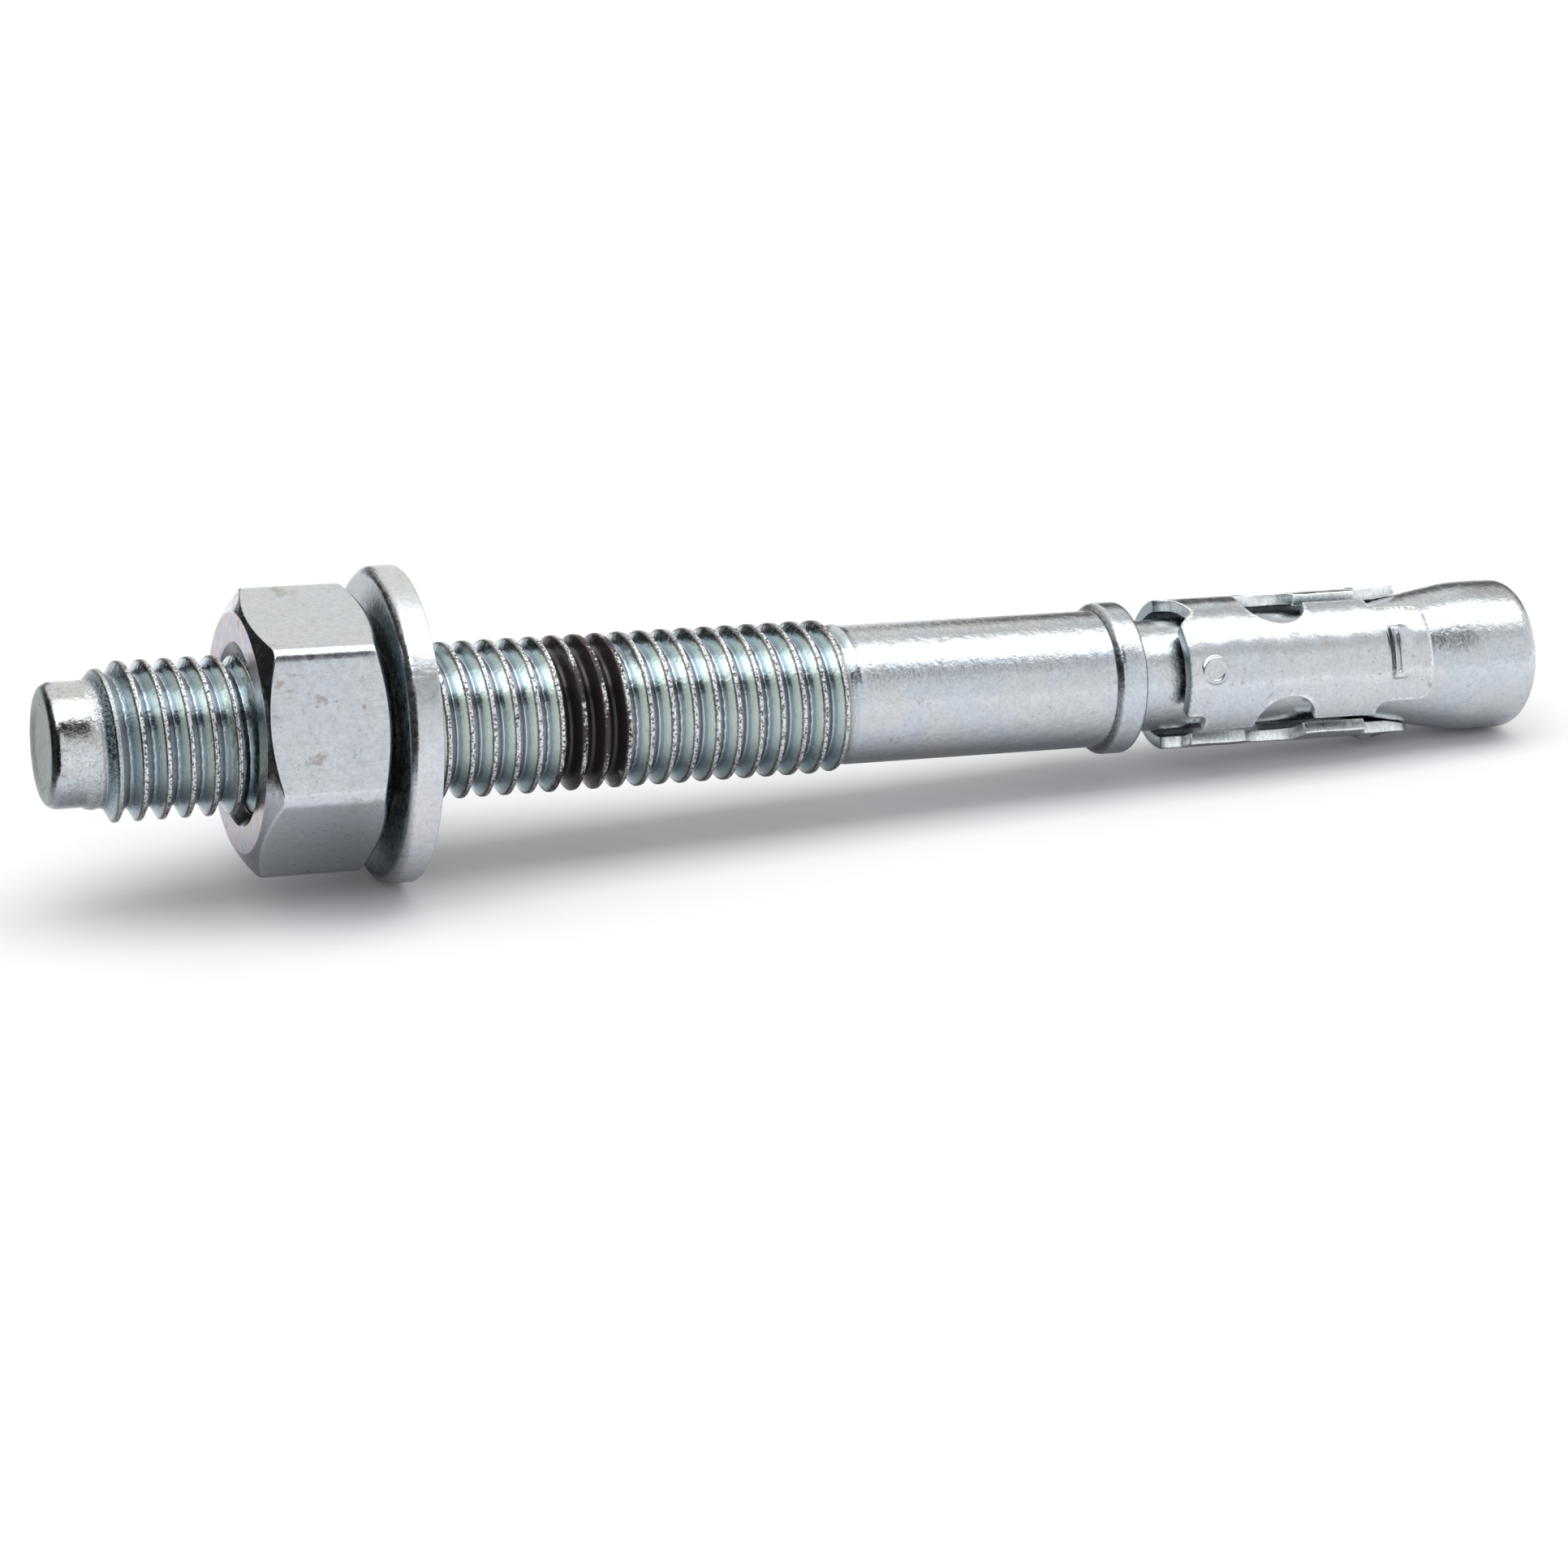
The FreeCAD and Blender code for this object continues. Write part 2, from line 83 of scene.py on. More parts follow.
# %% Grid to mesh
MERGE_WITHIN = 1e-7
NO_LENGTH = 1e-8


def merge_doubles(mesh):
    """Points within a ten-thousandth of a millimetre become one, and faces left without area go."""
    work = bmesh.new()
    work.from_mesh(mesh)
    bmesh.ops.remove_doubles(work, verts=work.verts, dist=MERGE_WITHIN)
    bmesh.ops.dissolve_degenerate(work, edges=work.edges, dist=NO_LENGTH)
    work.to_mesh(mesh)
    work.free()


def placed(name, data):
    """A new object that is linked into the scene."""
    made = bpy.data.objects.new(name, data)
    bpy.context.scene.collection.objects.link(made)
    return made


def new_piece(name, points, faces, notes):
    """A smooth mesh of points and groups of faces. Notes are named numbers, one per point, kept with them."""
    mesh = bpy.data.meshes.new(name)
    mesh.from_pydata(points.reshape(-1, 3).tolist(), [], [face for group in faces for face in group.tolist()])
    for label, numbers in notes.items():
        layer = mesh.attributes.new(label, "FLOAT", "POINT")
        layer.data.foreach_set("value", np.ascontiguousarray(numbers, np.float32).ravel())
    merge_doubles(mesh)
    mesh.shade_smooth()
    return placed(name, mesh)


def round_the_axis(rows, columns, first_row=0, shift=0):
    """Four-sided faces between neighbouring rows and columns of a grid.

    Column j joins column j + 1. The last column joins column 0 that lies `shift` rows further, as on a helix.
    """
    row, column = np.meshgrid(np.arange(rows - 1), np.arange(columns), indexing="ij")
    wraps = column == columns - 1
    other_row = row + np.where(wraps, shift, 0)
    other_column = np.where(wraps, 0, column + 1)
    keep = (other_row >= 0) & (other_row + 1 < rows)
    corners = np.stack([
        row * columns + column,
        other_row * columns + other_column,
        (other_row + 1) * columns + other_column,
        (row + 1) * columns + column,
    ], axis=-1)
    return corners[keep] + first_row * columns


def report(piece):
    """Print how big a finished piece is."""
    triangles = sum(len(face.vertices) - 2 for face in piece.data.polygons)
    box = np.array(piece.bound_box)
    print(f"{piece.name}: {triangles} triangles, {np.round(np.ptp(box, axis=0) / MM, 2)} mm")


# %% [markdown]
# ## A section with rounded corners
# Turned and forged steel has no perfectly sharp corner, and its small roundings are what catch the light. A
# section is written as a list of corners: place along the bolt, distance out, and how far back the rounding
# starts. A bevel modifier could round the finished mesh, but the formula keeps the rows where they are wanted
# and costs nothing.

# %% Rounded corners along a section
def rounded(corners, steps=5):
    """Rows of (x, r) along straight runs whose corners are circular arcs.

    Each arc is (1-t)^2 * start + 2wt(1-t) * corner + t^2 * end over (1-t)^2 + 2wt(1-t) + t^2, where start and
    end lie the cut back from the corner and w is the cosine of half the turn. A row is added just outside
    each arc, so that the shading of the straight runs stays flat. Any number may be an array with one value
    per column.
    """
    flat = np.broadcast_arrays(*[np.asarray(number, float) for corner in corners for number in corner])
    table = np.array(flat).reshape(len(corners), 3, -1)
    spots, cut = table[:, :2], table[:, 2:]
    back = np.concatenate([spots[:1], spots[:-1]]) - spots
    ahead = np.concatenate([spots[1:], spots[-1:]]) - spots
    back_run = np.maximum(np.linalg.norm(back, axis=1, keepdims=True), 1e-9)
    ahead_run = np.maximum(np.linalg.norm(ahead, axis=1, keepdims=True), 1e-9)
    back, ahead = back / back_run, ahead / ahead_run
    turn = np.clip(-(back * ahead).sum(1, keepdims=True), -1, 1)
    weight = np.sqrt((1 + turn) / 2)[:, None]
    start, end = spots + back * cut, spots + ahead * cut
    t = np.linspace(0, 1, steps + 1)[:, None, None]
    of_start, of_corner, of_end = (1 - t) ** 2, 2 * weight * t * (1 - t), t ** 2
    across = of_start * start[:, None] + of_corner * spots[:, None] + of_end * end[:, None]
    arcs = across / (of_start + of_corner + of_end)
    back_free = back_run - cut - np.concatenate([cut[:1], cut[:-1]])
    ahead_free = ahead_run - cut - np.concatenate([cut[1:], cut[-1:]])
    before = spots + back * (cut + np.clip(0.45 * back_free, 0, 0.5 * cut))
    after = spots + ahead * (cut + np.clip(0.45 * ahead_free, 0, 0.5 * cut))
    return np.concatenate([before[:, None], arcs, after[:, None]], axis=1).reshape(-1, 2, table.shape[2])


print("a rounded corner becomes", rounded([(0, 0, 0), (0, 5, 1), (5, 5, 0)]).shape[0], "rows")

# %% [markdown]
# ## The thread's section
# The thread was rolled between dies, not cut. Its flanks stand 60 degrees apart, the root is softly rounded,
# and the steel that the dies squeeze up from both sides meets in the middle of the crest, where a fine crease
# is left. At the free end the ridge rises out of the blank over a little more than a turn, and at the shank
# it fades out again. One crest's place, 5.91 mm from the end at the angle called top, fixes the whole helix.

# %% Distance from the nearest crest, and the radius that follows
PITCH = 1.75
TOP = math.radians(70.06)
CREST_ON_TOP = 5.91
CREST, ROOT, DOG, SHANK = 5.9, 4.93, 4.65, 5.38
CREST_HALF, CREST_ROUND, ROOT_ROUND = 0.14, 0.07, 0.22
CREASE_DEPTH, CREASE_HALF = 0.035, 0.04
THREAD_FROM, THREAD_TO = 2.6, 62.7
ROOT_RISES = (2.8, 5.2)
RIDGE_FROM, RIDGE_GROWS = 2.9, 2.1
RUN_OUT = (60.4, 62.5)


def blend_low(a, b, width):
    """The lower of a and b, with the corner between them rounded over the width."""
    share = np.clip(0.5 + 0.5 * (b - a) / width, 0, 1)
    return b + (a - b) * share - width * share * (1 - share)


def ease(x, start, end):
    """0 before the start and 1 after the end, with no corner: 3s^2 - 2s^3."""
    share = np.clip((x - start) / (end - start), 0, 1)
    return share * share * (3 - 2 * share)


def past_crest(x, angle):
    """How far a point lies beyond the middle of the nearest crest, which moves a pitch along in each turn."""
    turns = (x - CREST_ON_TOP) / PITCH - (angle - TOP) / FULL_TURN
    return PITCH * (turns - np.round(turns))


def thread_radius(past):
    """Crest, 60 degree flanks and rounded root, less a fine crease in the middle of the crest."""
    distance = np.abs(past)
    flank = CREST - (distance - CREST_HALF) * math.sqrt(3)
    ridge = blend_low(CREST, flank, CREST_ROUND)
    crease = CREASE_DEPTH * np.exp(-((distance / CREASE_HALF) ** 2))
    return -blend_low(-ridge, -ROOT, ROOT_ROUND) - crease


def stud_thread(x, angle):
    """The root rises from the blank, the ridge stands on it in proportion, and both fade into the shank."""
    past = past_crest(x, angle)
    root = DOG + (ROOT - DOG) * ease(x, *ROOT_RISES)
    grown = np.clip((x - past - RIDGE_FROM) / RIDGE_GROWS, 0, 1) * ease(x, THREAD_FROM, THREAD_FROM + 0.3)
    ridge = root + (thread_radius(past) - ROOT) * grown
    return ridge + (SHANK - ridge) * ease(x, *RUN_OUT)


print("thread depth", round(CREST - thread_radius(np.array(PITCH / 2)).item(), 3), "mm")

# %% [markdown]
# ## Rows that follow the helix
# A plain grid would cross the thread at a slant and leave its edges ragged. Here each row is one line of the
# thread, such as the crest's edge or the root, and moves one pitch along the bolt in a turn. Rows beyond
# either end of the thread are pressed flat into the end's plane, where they merge with the ring of the plain
# part.

# %% Helical rows
STATIONS = np.array([-0.875, -0.8, -0.72, -0.6, -0.45, -0.3, -0.2, -0.14, -0.09, -0.04, 0,
                     0.04, 0.09, 0.14, 0.2, 0.3, 0.45, 0.6, 0.72, 0.8])
STUD_COLUMNS = 96


def helix_rows(start, end, angle):
    """x = crest on top + pitch * (turn + (angle - top) / full turn) + station, kept between start and end."""
    first = math.floor((start - CREST_ON_TOP) / PITCH) - 2
    last = math.ceil((end - CREST_ON_TOP) / PITCH) + 2
    lines = (np.arange(first, last + 1)[:, None] * PITCH + STATIONS).ravel()
    x = CREST_ON_TOP + lines[:, None] + PITCH * (angle - TOP) / FULL_TURN
    return np.clip(x, start, end)


around = np.arange(STUD_COLUMNS) * FULL_TURN / STUD_COLUMNS
thread_x = helix_rows(THREAD_FROM, THREAD_TO, around)
print("thread grid", thread_x.shape)

# %% [markdown]
# ## The stud
# One cold-formed piece: dog point, thread, shank, collar, neck, flared cone and rounded nose. Three grids
# make it. The dog point and the tail are turned sections, the thread lies between them, and they share their
# rings of points.

# %% Several grids as one
def stack(grids):
    """Points, faces and notes of several grids with the same number of columns, one after the other."""
    points, faces, along, out, across, rows_before = [], [], [], [], [], 0
    for x, r, angle, shift in grids:
        x, r, angle = np.broadcast_arrays(x, r, angle)
        points.append(in_place(x, r, angle).reshape(-1, 3))
        faces.append(round_the_axis(x.shape[0], x.shape[1], rows_before, shift))
        along.append(x.ravel())
        out.append(r.ravel())
        across.append(past_crest(x, angle).ravel())
        rows_before += x.shape[0]
    notes = {"along": np.concatenate(along), "out": np.concatenate(out), "across": np.concatenate(across)}
    return np.concatenate(points), faces, notes


# %% Stud
SHANK_TO, COLLAR, COLLAR_TO, NECK = 83.4, 5.98, 85.85, 4.4
CONE_FROM, LAND_FROM, LAND, NOSE = 105.9, 115.461, 6.0, 120.711

dog = rounded([
    (0.12, 0, 0), (0.09, 2.6, 0.5), (0, 3.3, 0.3), (0.02, DOG, 0.85), (THREAD_FROM - 0.08, DOG, 0),
    (THREAD_FROM, DOG, 0),
], 8)
tail = rounded([
    (THREAD_TO, SHANK, 0), (SHANK_TO, SHANK, 0.05), (SHANK_TO, SHANK + 0.1, 0.06),
    (SHANK_TO + 0.42, COLLAR, 0.2), (COLLAR_TO, COLLAR, 0.42), (COLLAR_TO, NECK + 0.5, 0.12),
    (COLLAR_TO + 0.5, NECK, 0.3), (CONE_FROM, NECK, 2.5), (LAND_FROM, LAND, 1.2), (NOSE, LAND, 1.45),
    (NOSE, 0, 0),
])
stud = new_piece("stud_turned", *stack([
    (dog[:, 0], dog[:, 1], around, 0),
    (thread_x, stud_thread(thread_x, around), around, len(STATIONS)),
    (tail[:, 0], tail[:, 1], around, 0),
]))
report(stud)

# %% [markdown]
# ## The nut
# A cold-formed hexagon nut: flats 18.9 mm apart, soft corners, both ends turned to a 30 degree chamfer that
# leaves a round face, the smaller one towards the washer. The chamfer meets each flat in a curve that is
# lowest at the middle. So every column round the axis gets its own section, and the edges come out clean.
# Columns crowd towards the six corners, where the shape turns quickly.

# %% The hexagon
NUT_FROM, NUT_TO = 14.5, 24.3
FLAT, CORNER_ROUND, FACE, SEAT, MOUTH = 9.45, 1.4, 8.95, 8.45, 6.9
NUT_TURN = math.radians(8.6)
SIXTH, TWELFTH = math.pi / 3, math.pi / 6
COLUMNS_A_SIDE = 36


def hexagon(angle):
    """Distance to the side of a hexagon with rounded corners, its flats at 30, 90, 150 ... degrees."""
    off = np.mod(angle, SIXTH) - TWELFTH
    corner = (FLAT - CORNER_ROUND) / math.cos(TWELFTH)
    to_corner = TWELFTH - np.abs(off)
    under_root = np.maximum(CORNER_ROUND ** 2 - (corner * np.sin(to_corner)) ** 2, 0)
    on_arc = corner * np.cos(to_corner) + np.sqrt(under_root)
    tangent = math.atan2((FLAT - CORNER_ROUND) * math.tan(TWELFTH), FLAT)
    return np.where(np.abs(off) < tangent, FLAT / np.cos(off), on_arc)


side_steps = np.sin(np.linspace(-math.pi / 2, math.pi / 2, COLUMNS_A_SIDE + 1)[:-1]) * math.pi / 6 + TWELFTH
hex_angle = (np.arange(6)[:, None] * math.pi / 3 + side_steps).ravel()
hex_radius = hexagon(hex_angle)
nut_angle = hex_angle + NUT_TURN
near_depth, far_depth = ((hex_radius - end) * math.tan(math.radians(30)) for end in (FACE, SEAT))
print("the hexagon is", round(2 * hex_radius.max(), 2), "mm over its corners")


# %% Nut
BORE_PLAY, MOUTH_IN = 0.1, 0.08


def nut_bore(x, angle):
    """The stud's thread with a small clearance, opened by a 45 degree countersink at both ends."""
    thread = thread_radius(past_crest(x, angle)) + BORE_PLAY
    mouth = MOUTH - np.minimum(x - NUT_FROM, NUT_TO - x)
    return np.maximum(thread, mouth)


skin = rounded([
    (NUT_FROM + MOUTH_IN, MOUTH - MOUTH_IN, 0), (NUT_FROM, MOUTH, 0.05), (NUT_FROM, FACE, 0.12),
    (NUT_FROM + near_depth, hex_radius, 0.17), (NUT_TO - far_depth, hex_radius, 0.17),
    (NUT_TO, SEAT, 0.12), (NUT_TO, MOUTH, 0.05), (NUT_TO - MOUTH_IN, MOUTH - MOUTH_IN, 0),
])
bore_x = helix_rows(NUT_FROM + MOUTH_IN, NUT_TO - MOUTH_IN, nut_angle)[::-1]
nut = new_piece("nut_forged", *stack([
    (skin[:, 0], skin[:, 1], nut_angle, 0),
    (bore_x, nut_bore(bore_x, nut_angle), nut_angle, -len(STATIONS)),
]))
report(nut)

# %% [markdown]
# ## The washer
# A plain washer is punched from plate. The punch rolls the steel over at the rim on one side, here the nut's
# side, in a rounded bevel, and leaves a sharper edge on the other. The section is a closed loop that starts
# in the middle of the hole's wall.

# %% Washer
WASHER_FROM, WASHER_TO, WASHER_OUT, HOLE = 24.6, 26.95, 11.844, 6.5
WASHER_COLUMNS = 192
washer_angle = np.arange(WASHER_COLUMNS) * FULL_TURN / WASHER_COLUMNS
washer_middle = (WASHER_FROM + WASHER_TO) / 2
loop = rounded([
    (washer_middle, HOLE, 0), (WASHER_FROM, HOLE, 0.25), (WASHER_FROM, WASHER_OUT - 0.62, 0.3),
    (WASHER_FROM + 0.5, WASHER_OUT, 0.3), (WASHER_TO, WASHER_OUT, 0.1), (WASHER_TO, HOLE, 0.1),
    (washer_middle, HOLE, 0),
])
washer = new_piece("washer_punched", *stack([(loop[:, 0], loop[:, 1], washer_angle, 0)]))
report(washer)

# %% [markdown]
# ## The sleeve's blank
# The sleeve starts as a flat strip of sheet steel. A press cuts its outline: three slits that end in wide
# round-cornered windows, rounded tabs between them, small notches opposite, and two ends that later face each
# other across an open seam. The slits run out to the edge, so the whole blank is one closed outline with no
# hole in it. It is drawn flat here too: place along the bolt against length round the sleeve.

# %% Corners of the blank
SLEEVE_FROM, OUTER, INNER = 89.4, 5.95, 4.95
TAB_END, TAB_ROOT, WINDOW_NEAR, WINDOW_ROUNDS, WINDOW_FAR = 21.6, 16.95, 6.3, 11.13, 11.47
NOTCH_DEPTH = 1.8


def blank_corners(slot, corners):
    """(x, offset, cut) beside a slot becomes (x, r * (slot + asin(offset / r)), cut), r being the outside."""
    x, offset, cut = np.array(corners, float).T
    return np.stack([x, OUTER * (math.radians(slot) + np.arcsin(offset / OUTER)), cut], axis=1)


slit_side = [
    (WINDOW_NEAR, 2.95, 2.6), (WINDOW_ROUNDS, 2.95, 2.0), (WINDOW_FAR, 0.75, 0.2), (TAB_ROOT, 0.75, 0.2),
    (TAB_ROOT, 2.0, 0.8), (TAB_END, 2.0, 1.2),
]
slit = [(x, -offset, cut) for x, offset, cut in reversed(slit_side)] + slit_side
seam_near = [
    (0, 1.75, 0.25), (NOTCH_DEPTH, 1.75, 0.6), (NOTCH_DEPTH, 0.2, 0.25), (WINDOW_NEAR, 0.2, 0.12),
] + slit_side
seam_far = [
    (TAB_END, -2.45, 1.2), (TAB_ROOT, -2.45, 0.8), (TAB_ROOT, -1.2, 0.2), (WINDOW_FAR, -1.2, 0.2),
    (WINDOW_ROUNDS, -3.4, 2.0), (7.4, -3.4, 1.4), (6.65, -2.1, 0.1), (NOTCH_DEPTH, -2.1, 0.25),
    (NOTCH_DEPTH, -3.7, 0.6), (0, -3.7, 0.25),
]
notch = [(0, 2.7, 0.2), (0.95, 1.45, 0.3), (1.55, -1.25, 0.3), (0, -2.6, 0.3)]
start = blank_corners(0, [(0, 0, 0)])
corners = np.concatenate([
    start, blank_corners(-60, seam_near), blank_corners(60, slit), blank_corners(180, slit),
    blank_corners(300, seam_far), blank_corners(180, notch), blank_corners(60, notch), start,
])
print("the blank has", len(corners) - 2, "corners")


# %% Outline of the blank
def spaced(line, gap):
    """The line's points with more between them, so that no step is longer than the gap, and none doubled."""
    line = line[np.r_[True, np.linalg.norm(np.diff(line, axis=0), axis=1) > 1e-4]]
    steps = np.diff(line, axis=0)
    count = np.ceil(np.linalg.norm(steps, axis=1) / gap).astype(int)
    which = np.repeat(np.arange(len(steps)), count)
    share = (np.arange(len(which)) - np.repeat(np.cumsum(count) - count, count)) / count[which]
    return line[which] + steps[which] * share[:, None]


outline = spaced(rounded(list(corners), steps=8)[:, :, 0], 0.25)
print("its outline has", len(outline), "points and is", round(float(np.ptp(outline[:, 1])), 2), "mm round")

# %% [markdown]
# ## Pressed details of the sheet
# Each tab has a raised barb, steep towards the thread, that bites into the hole's wall and holds the sleeve
# back while the cone is pulled in. One round button with a sunk middle sits near the rear edge. Press work
# also leaves the panels faintly uneven, which makes their reflections waver. All of it is one height that is
# added to the sheet's radius.

# %% Height of the sheet over its plain roll
PANELS = (0.0, 120.0, 240.0)
BARB_AT, BARB_HIGH, GROOVE_DEEP = 17.8, 0.42, 0.62
BUTTON_AT, BUTTON_HIGH, BUTTON_SUNK = (2.2, math.radians(-5.5)), 0.2, 0.13
UNEVEN_MOST = 0.028


def barb(x, angle):
    """A steep step up, a shallow fall back over 2.3 mm, a groove just behind the step and sloping sides."""
    past = x - BARB_AT
    slope = ease(past, -0.18, 0.18) * (1 - 0.9 * ease(past, 0.3, 2.6))
    groove = GROOVE_DEEP * np.exp(-(((past - 0.46) / 0.13) ** 2))
    raised = np.zeros_like(x)
    for panel in PANELS:
        off = np.abs(np.degrees(angle) - panel)
        raised += (1 - ease(off, 18.5, 21.5)) * (slope - groove * (1 - ease(off, 13, 16)))
    return BARB_HIGH * np.clip(raised, 0, 1)


def button(x, angle):
    """A round rise 2.2 mm across whose flat middle lies lower than its rim."""
    away = np.hypot(x - BUTTON_AT[0], OUTER * (angle - BUTTON_AT[1]))
    return BUTTON_HIGH * (1 - ease(away, 0.98, 1.22)) - BUTTON_SUNK * (1 - ease(away, 0.66, 0.86))


def uneven(x, angle):
    """A sum of three slow waves, together up to 0.028 mm high."""
    broad = 0.012 * np.sin(1.1 * x + 3 * angle)
    slanted = 0.01 * np.sin(0.57 * x - 7 * angle + 1)
    narrow = 0.006 * np.sin(2.3 * x + 11 * angle)
    return broad + slanted + narrow


print("the barb stands", round(barb(np.array(BARB_AT + 0.2), np.array(0.0)).item(), 2), "mm high")

# %% [markdown]
# ## Filling the flat sheet
# Blender's own two-dimensional triangulation fills the flat area. Its points are laid out in staggered rows,
# closer where the barbs and the button are, because a step in the sheet needs many small faces to look crisp.

# %% Helpers for the flat sheet
def inward(line):
    """Unit normals of a closed line that runs anticlockwise, pointing to its inside."""
    along = np.roll(line, -1, axis=0) - np.roll(line, 1, axis=0)
    along /= np.linalg.norm(along, axis=1, keepdims=True)
    return np.stack([-along[:, 1], along[:, 0]], axis=1)


def inside(points, line):
    """True where a ray from the point crosses the closed line an odd number of times."""
    ahead = np.roll(line, -1, axis=0)
    px, py = points[:, :1], points[:, 1:]
    straddles = (line[:, 1] > py) != (ahead[:, 1] > py)
    rise = np.where(ahead[:, 1] == line[:, 1], 1e-12, ahead[:, 1] - line[:, 1])
    crossing = line[:, 0] + (py - line[:, 1]) * (ahead[:, 0] - line[:, 0]) / rise
    return (straddles & (px < crossing)).sum(axis=1) % 2 == 1


def staggered(low, high, gap):
    """Points a gap apart that fill a box, every second row shifted by half a gap."""
    x, y = np.meshgrid(np.arange(low[0], high[0], gap), np.arange(low[1], high[1], 0.87 * gap))
    x = x + 0.5 * gap * (np.arange(len(x)) % 2)[:, None]
    return np.stack([x, y], axis=-1).reshape(-1, 2)


# %% Fill the outline
ROLL_OVER = 0.15
WIDE_GAP, FINE_GAP, EDGE_GAP = 0.32, 0.085, 0.09
normals = inward(outline)
edge_line = outline + ROLL_OVER * normals
details = [(BARB_AT + 0.25, OUTER * math.radians(panel), 0.6, 2.45) for panel in PANELS]
details.append((BUTTON_AT[0], OUTER * BUTTON_AT[1], 1.4, 1.4))
lattice = staggered(outline.min(axis=0), outline.max(axis=0), WIDE_GAP)
for x, y, half_x, half_y in details:
    within = (np.abs(lattice[:, 0] - x) < half_x) & (np.abs(lattice[:, 1] - y) < half_y)
    finer = staggered((x - half_x, y - half_y), (x + half_x, y + half_y), FINE_GAP)
    lattice = np.concatenate([lattice[~within], finer])
lattice = lattice[inside(lattice, edge_line)]
gaps = np.linalg.norm(lattice[:, None] - edge_line[None], axis=2).min(axis=1)
flat_points = np.concatenate([edge_line, lattice[gaps > EDGE_GAP]])
filled = delaunay_2d_cdt([Vector(point) for point in flat_points], [], [list(range(len(edge_line)))], 1, 1e-7)
flat_points = np.array([list(point) for point in filled[0]])
belongs = np.array([bool(source) for source in filled[5]])
triangles = np.array(filled[2])[belongs]
first, second, third = (flat_points[triangles[:, k]] for k in range(3))
one, other = second - first, third - first
anticlockwise = one[:, :1] * other[:, 1:] > one[:, 1:] * other[:, :1]
triangles = np.where(anticlockwise, triangles, triangles[:, ::-1])
kept = np.allclose(flat_points[:len(edge_line)], edge_line, atol=1e-5)
print(len(triangles), "triangles on each face; outline kept:", kept)

# %% [markdown]
# ## Rolling the sheet up
# Rolling is one formula, because the length round the sleeve becomes an angle. The same triangles serve the
# outer and the inner face, and a strip of rows carries the cut edge from one face to the other: rolled over
# outside, where the punch entered, and sharper inside. A number of its own marks it, for its torn finish.

# %% Places on the rolled sheet
CONE_SLOPE, CONE_PLAY = math.tan(math.radians(9.5)), 0.08
TAB_TIP, TIP_DROP = 0.7, 0.3
INNER_ROLL = 0.08
FIRST_PANEL = math.radians(154.4)


def outer_radius(x, angle):
    """The plain roll with its details, and the tabs' ends rounded off over 0.7 mm as a quarter of an oval."""
    over = np.clip((x - TAB_END + TAB_TIP) / TAB_TIP, 0, 1)
    tip = TIP_DROP * (1 - np.sqrt(1 - over ** 2))
    return OUTER + barb(x, angle) + button(x, angle) + uneven(x, angle) - UNEVEN_MOST - tip


def inner_radius(x, angle):
    """The roll's own inside, or just clear of the cone where that is further out."""
    cone = NECK + (x + SLEEVE_FROM - CONE_FROM) * CONE_SLOPE
    return np.maximum(INNER, cone + CONE_PLAY) + 0 * angle


def rolled(flat, share):
    """Blank points become places in the scene. Share is 0 on the outer face and 1 on the inner one."""
    x, angle = flat[:, 0], flat[:, 1] / OUTER
    r = outer_radius(x, angle) * (1 - share) + inner_radius(x, angle) * share
    return in_place(x + SLEEVE_FROM, r, FIRST_PANEL - angle), r


quarter = np.linspace(0, math.pi / 2, 5)
insets = np.r_[ROLL_OVER * (1 - np.sin(quarter)), ROLL_OVER * (1 - np.cos(quarter))]
shares = np.r_[ROLL_OVER * (1 - np.cos(quarter)), 1 - INNER_ROLL * (1 - np.sin(quarter))]
print("the cut edge has", len(insets), "rows")

# %% Sleeve
count, rim = len(flat_points), len(outline)
levels = [(0.0, flat_points, 0.0), (1.0, flat_points, 0.0)]
levels += [(share, outline + inset * normals, 1.0) for inset, share in zip(insets, shares)]
points, out, cut = [], [], []
for share, flat, is_cut in levels:
    places, radii = rolled(flat, share)
    points.append(places)
    out.append(radii)
    cut.append(np.full(len(flat), is_cut))

here = 2 * count + np.arange(rim)
beside = 2 * count + np.roll(np.arange(rim), -1)
strip = np.stack([here, here + rim, beside + rim, beside], axis=1)
strips = [strip + level * rim for level in range(len(insets) - 1)]
places = np.concatenate(points)
along = (places / MM - THREAD_END) @ ALONG
sleeve = new_piece("sleeve_stamped", places, [triangles, triangles[:, ::-1] + count] + strips,
                   {"along": along, "out": np.concatenate(out), "cut": np.concatenate(cut)})
report(sleeve)

# %% [markdown]
# ## Which piece rides on which body
# Each piece stands for the CAD solid of the same part, in the motion too: the stud is the base, the washer
# slides, the nut screws along with it, and the sleeve turns on the neck.

# %% Bodies
for piece, body, node, slot_name in [
    (stud, "stud", "stud", "stud_steel"),
    (nut, "nut", "nut", "nut_steel"),
    (washer, "washer", "washer", "washer_steel"),
    (sleeve, "sleeve", "expansion_sleeve", "sleeve_steel"),
]:
    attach(piece, body)
    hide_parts(node)
print("pieces:", [piece.name for piece in (stud, nut, washer, sleeve)])

# %% [markdown]
# ## Building a material from few words
# A material here is a chain of nodes that work out a colour, a roughness and a bump at each spot. Short
# helpers stand for the steps that come again and again. A helper adds its node to the tree that its inputs
# come from.

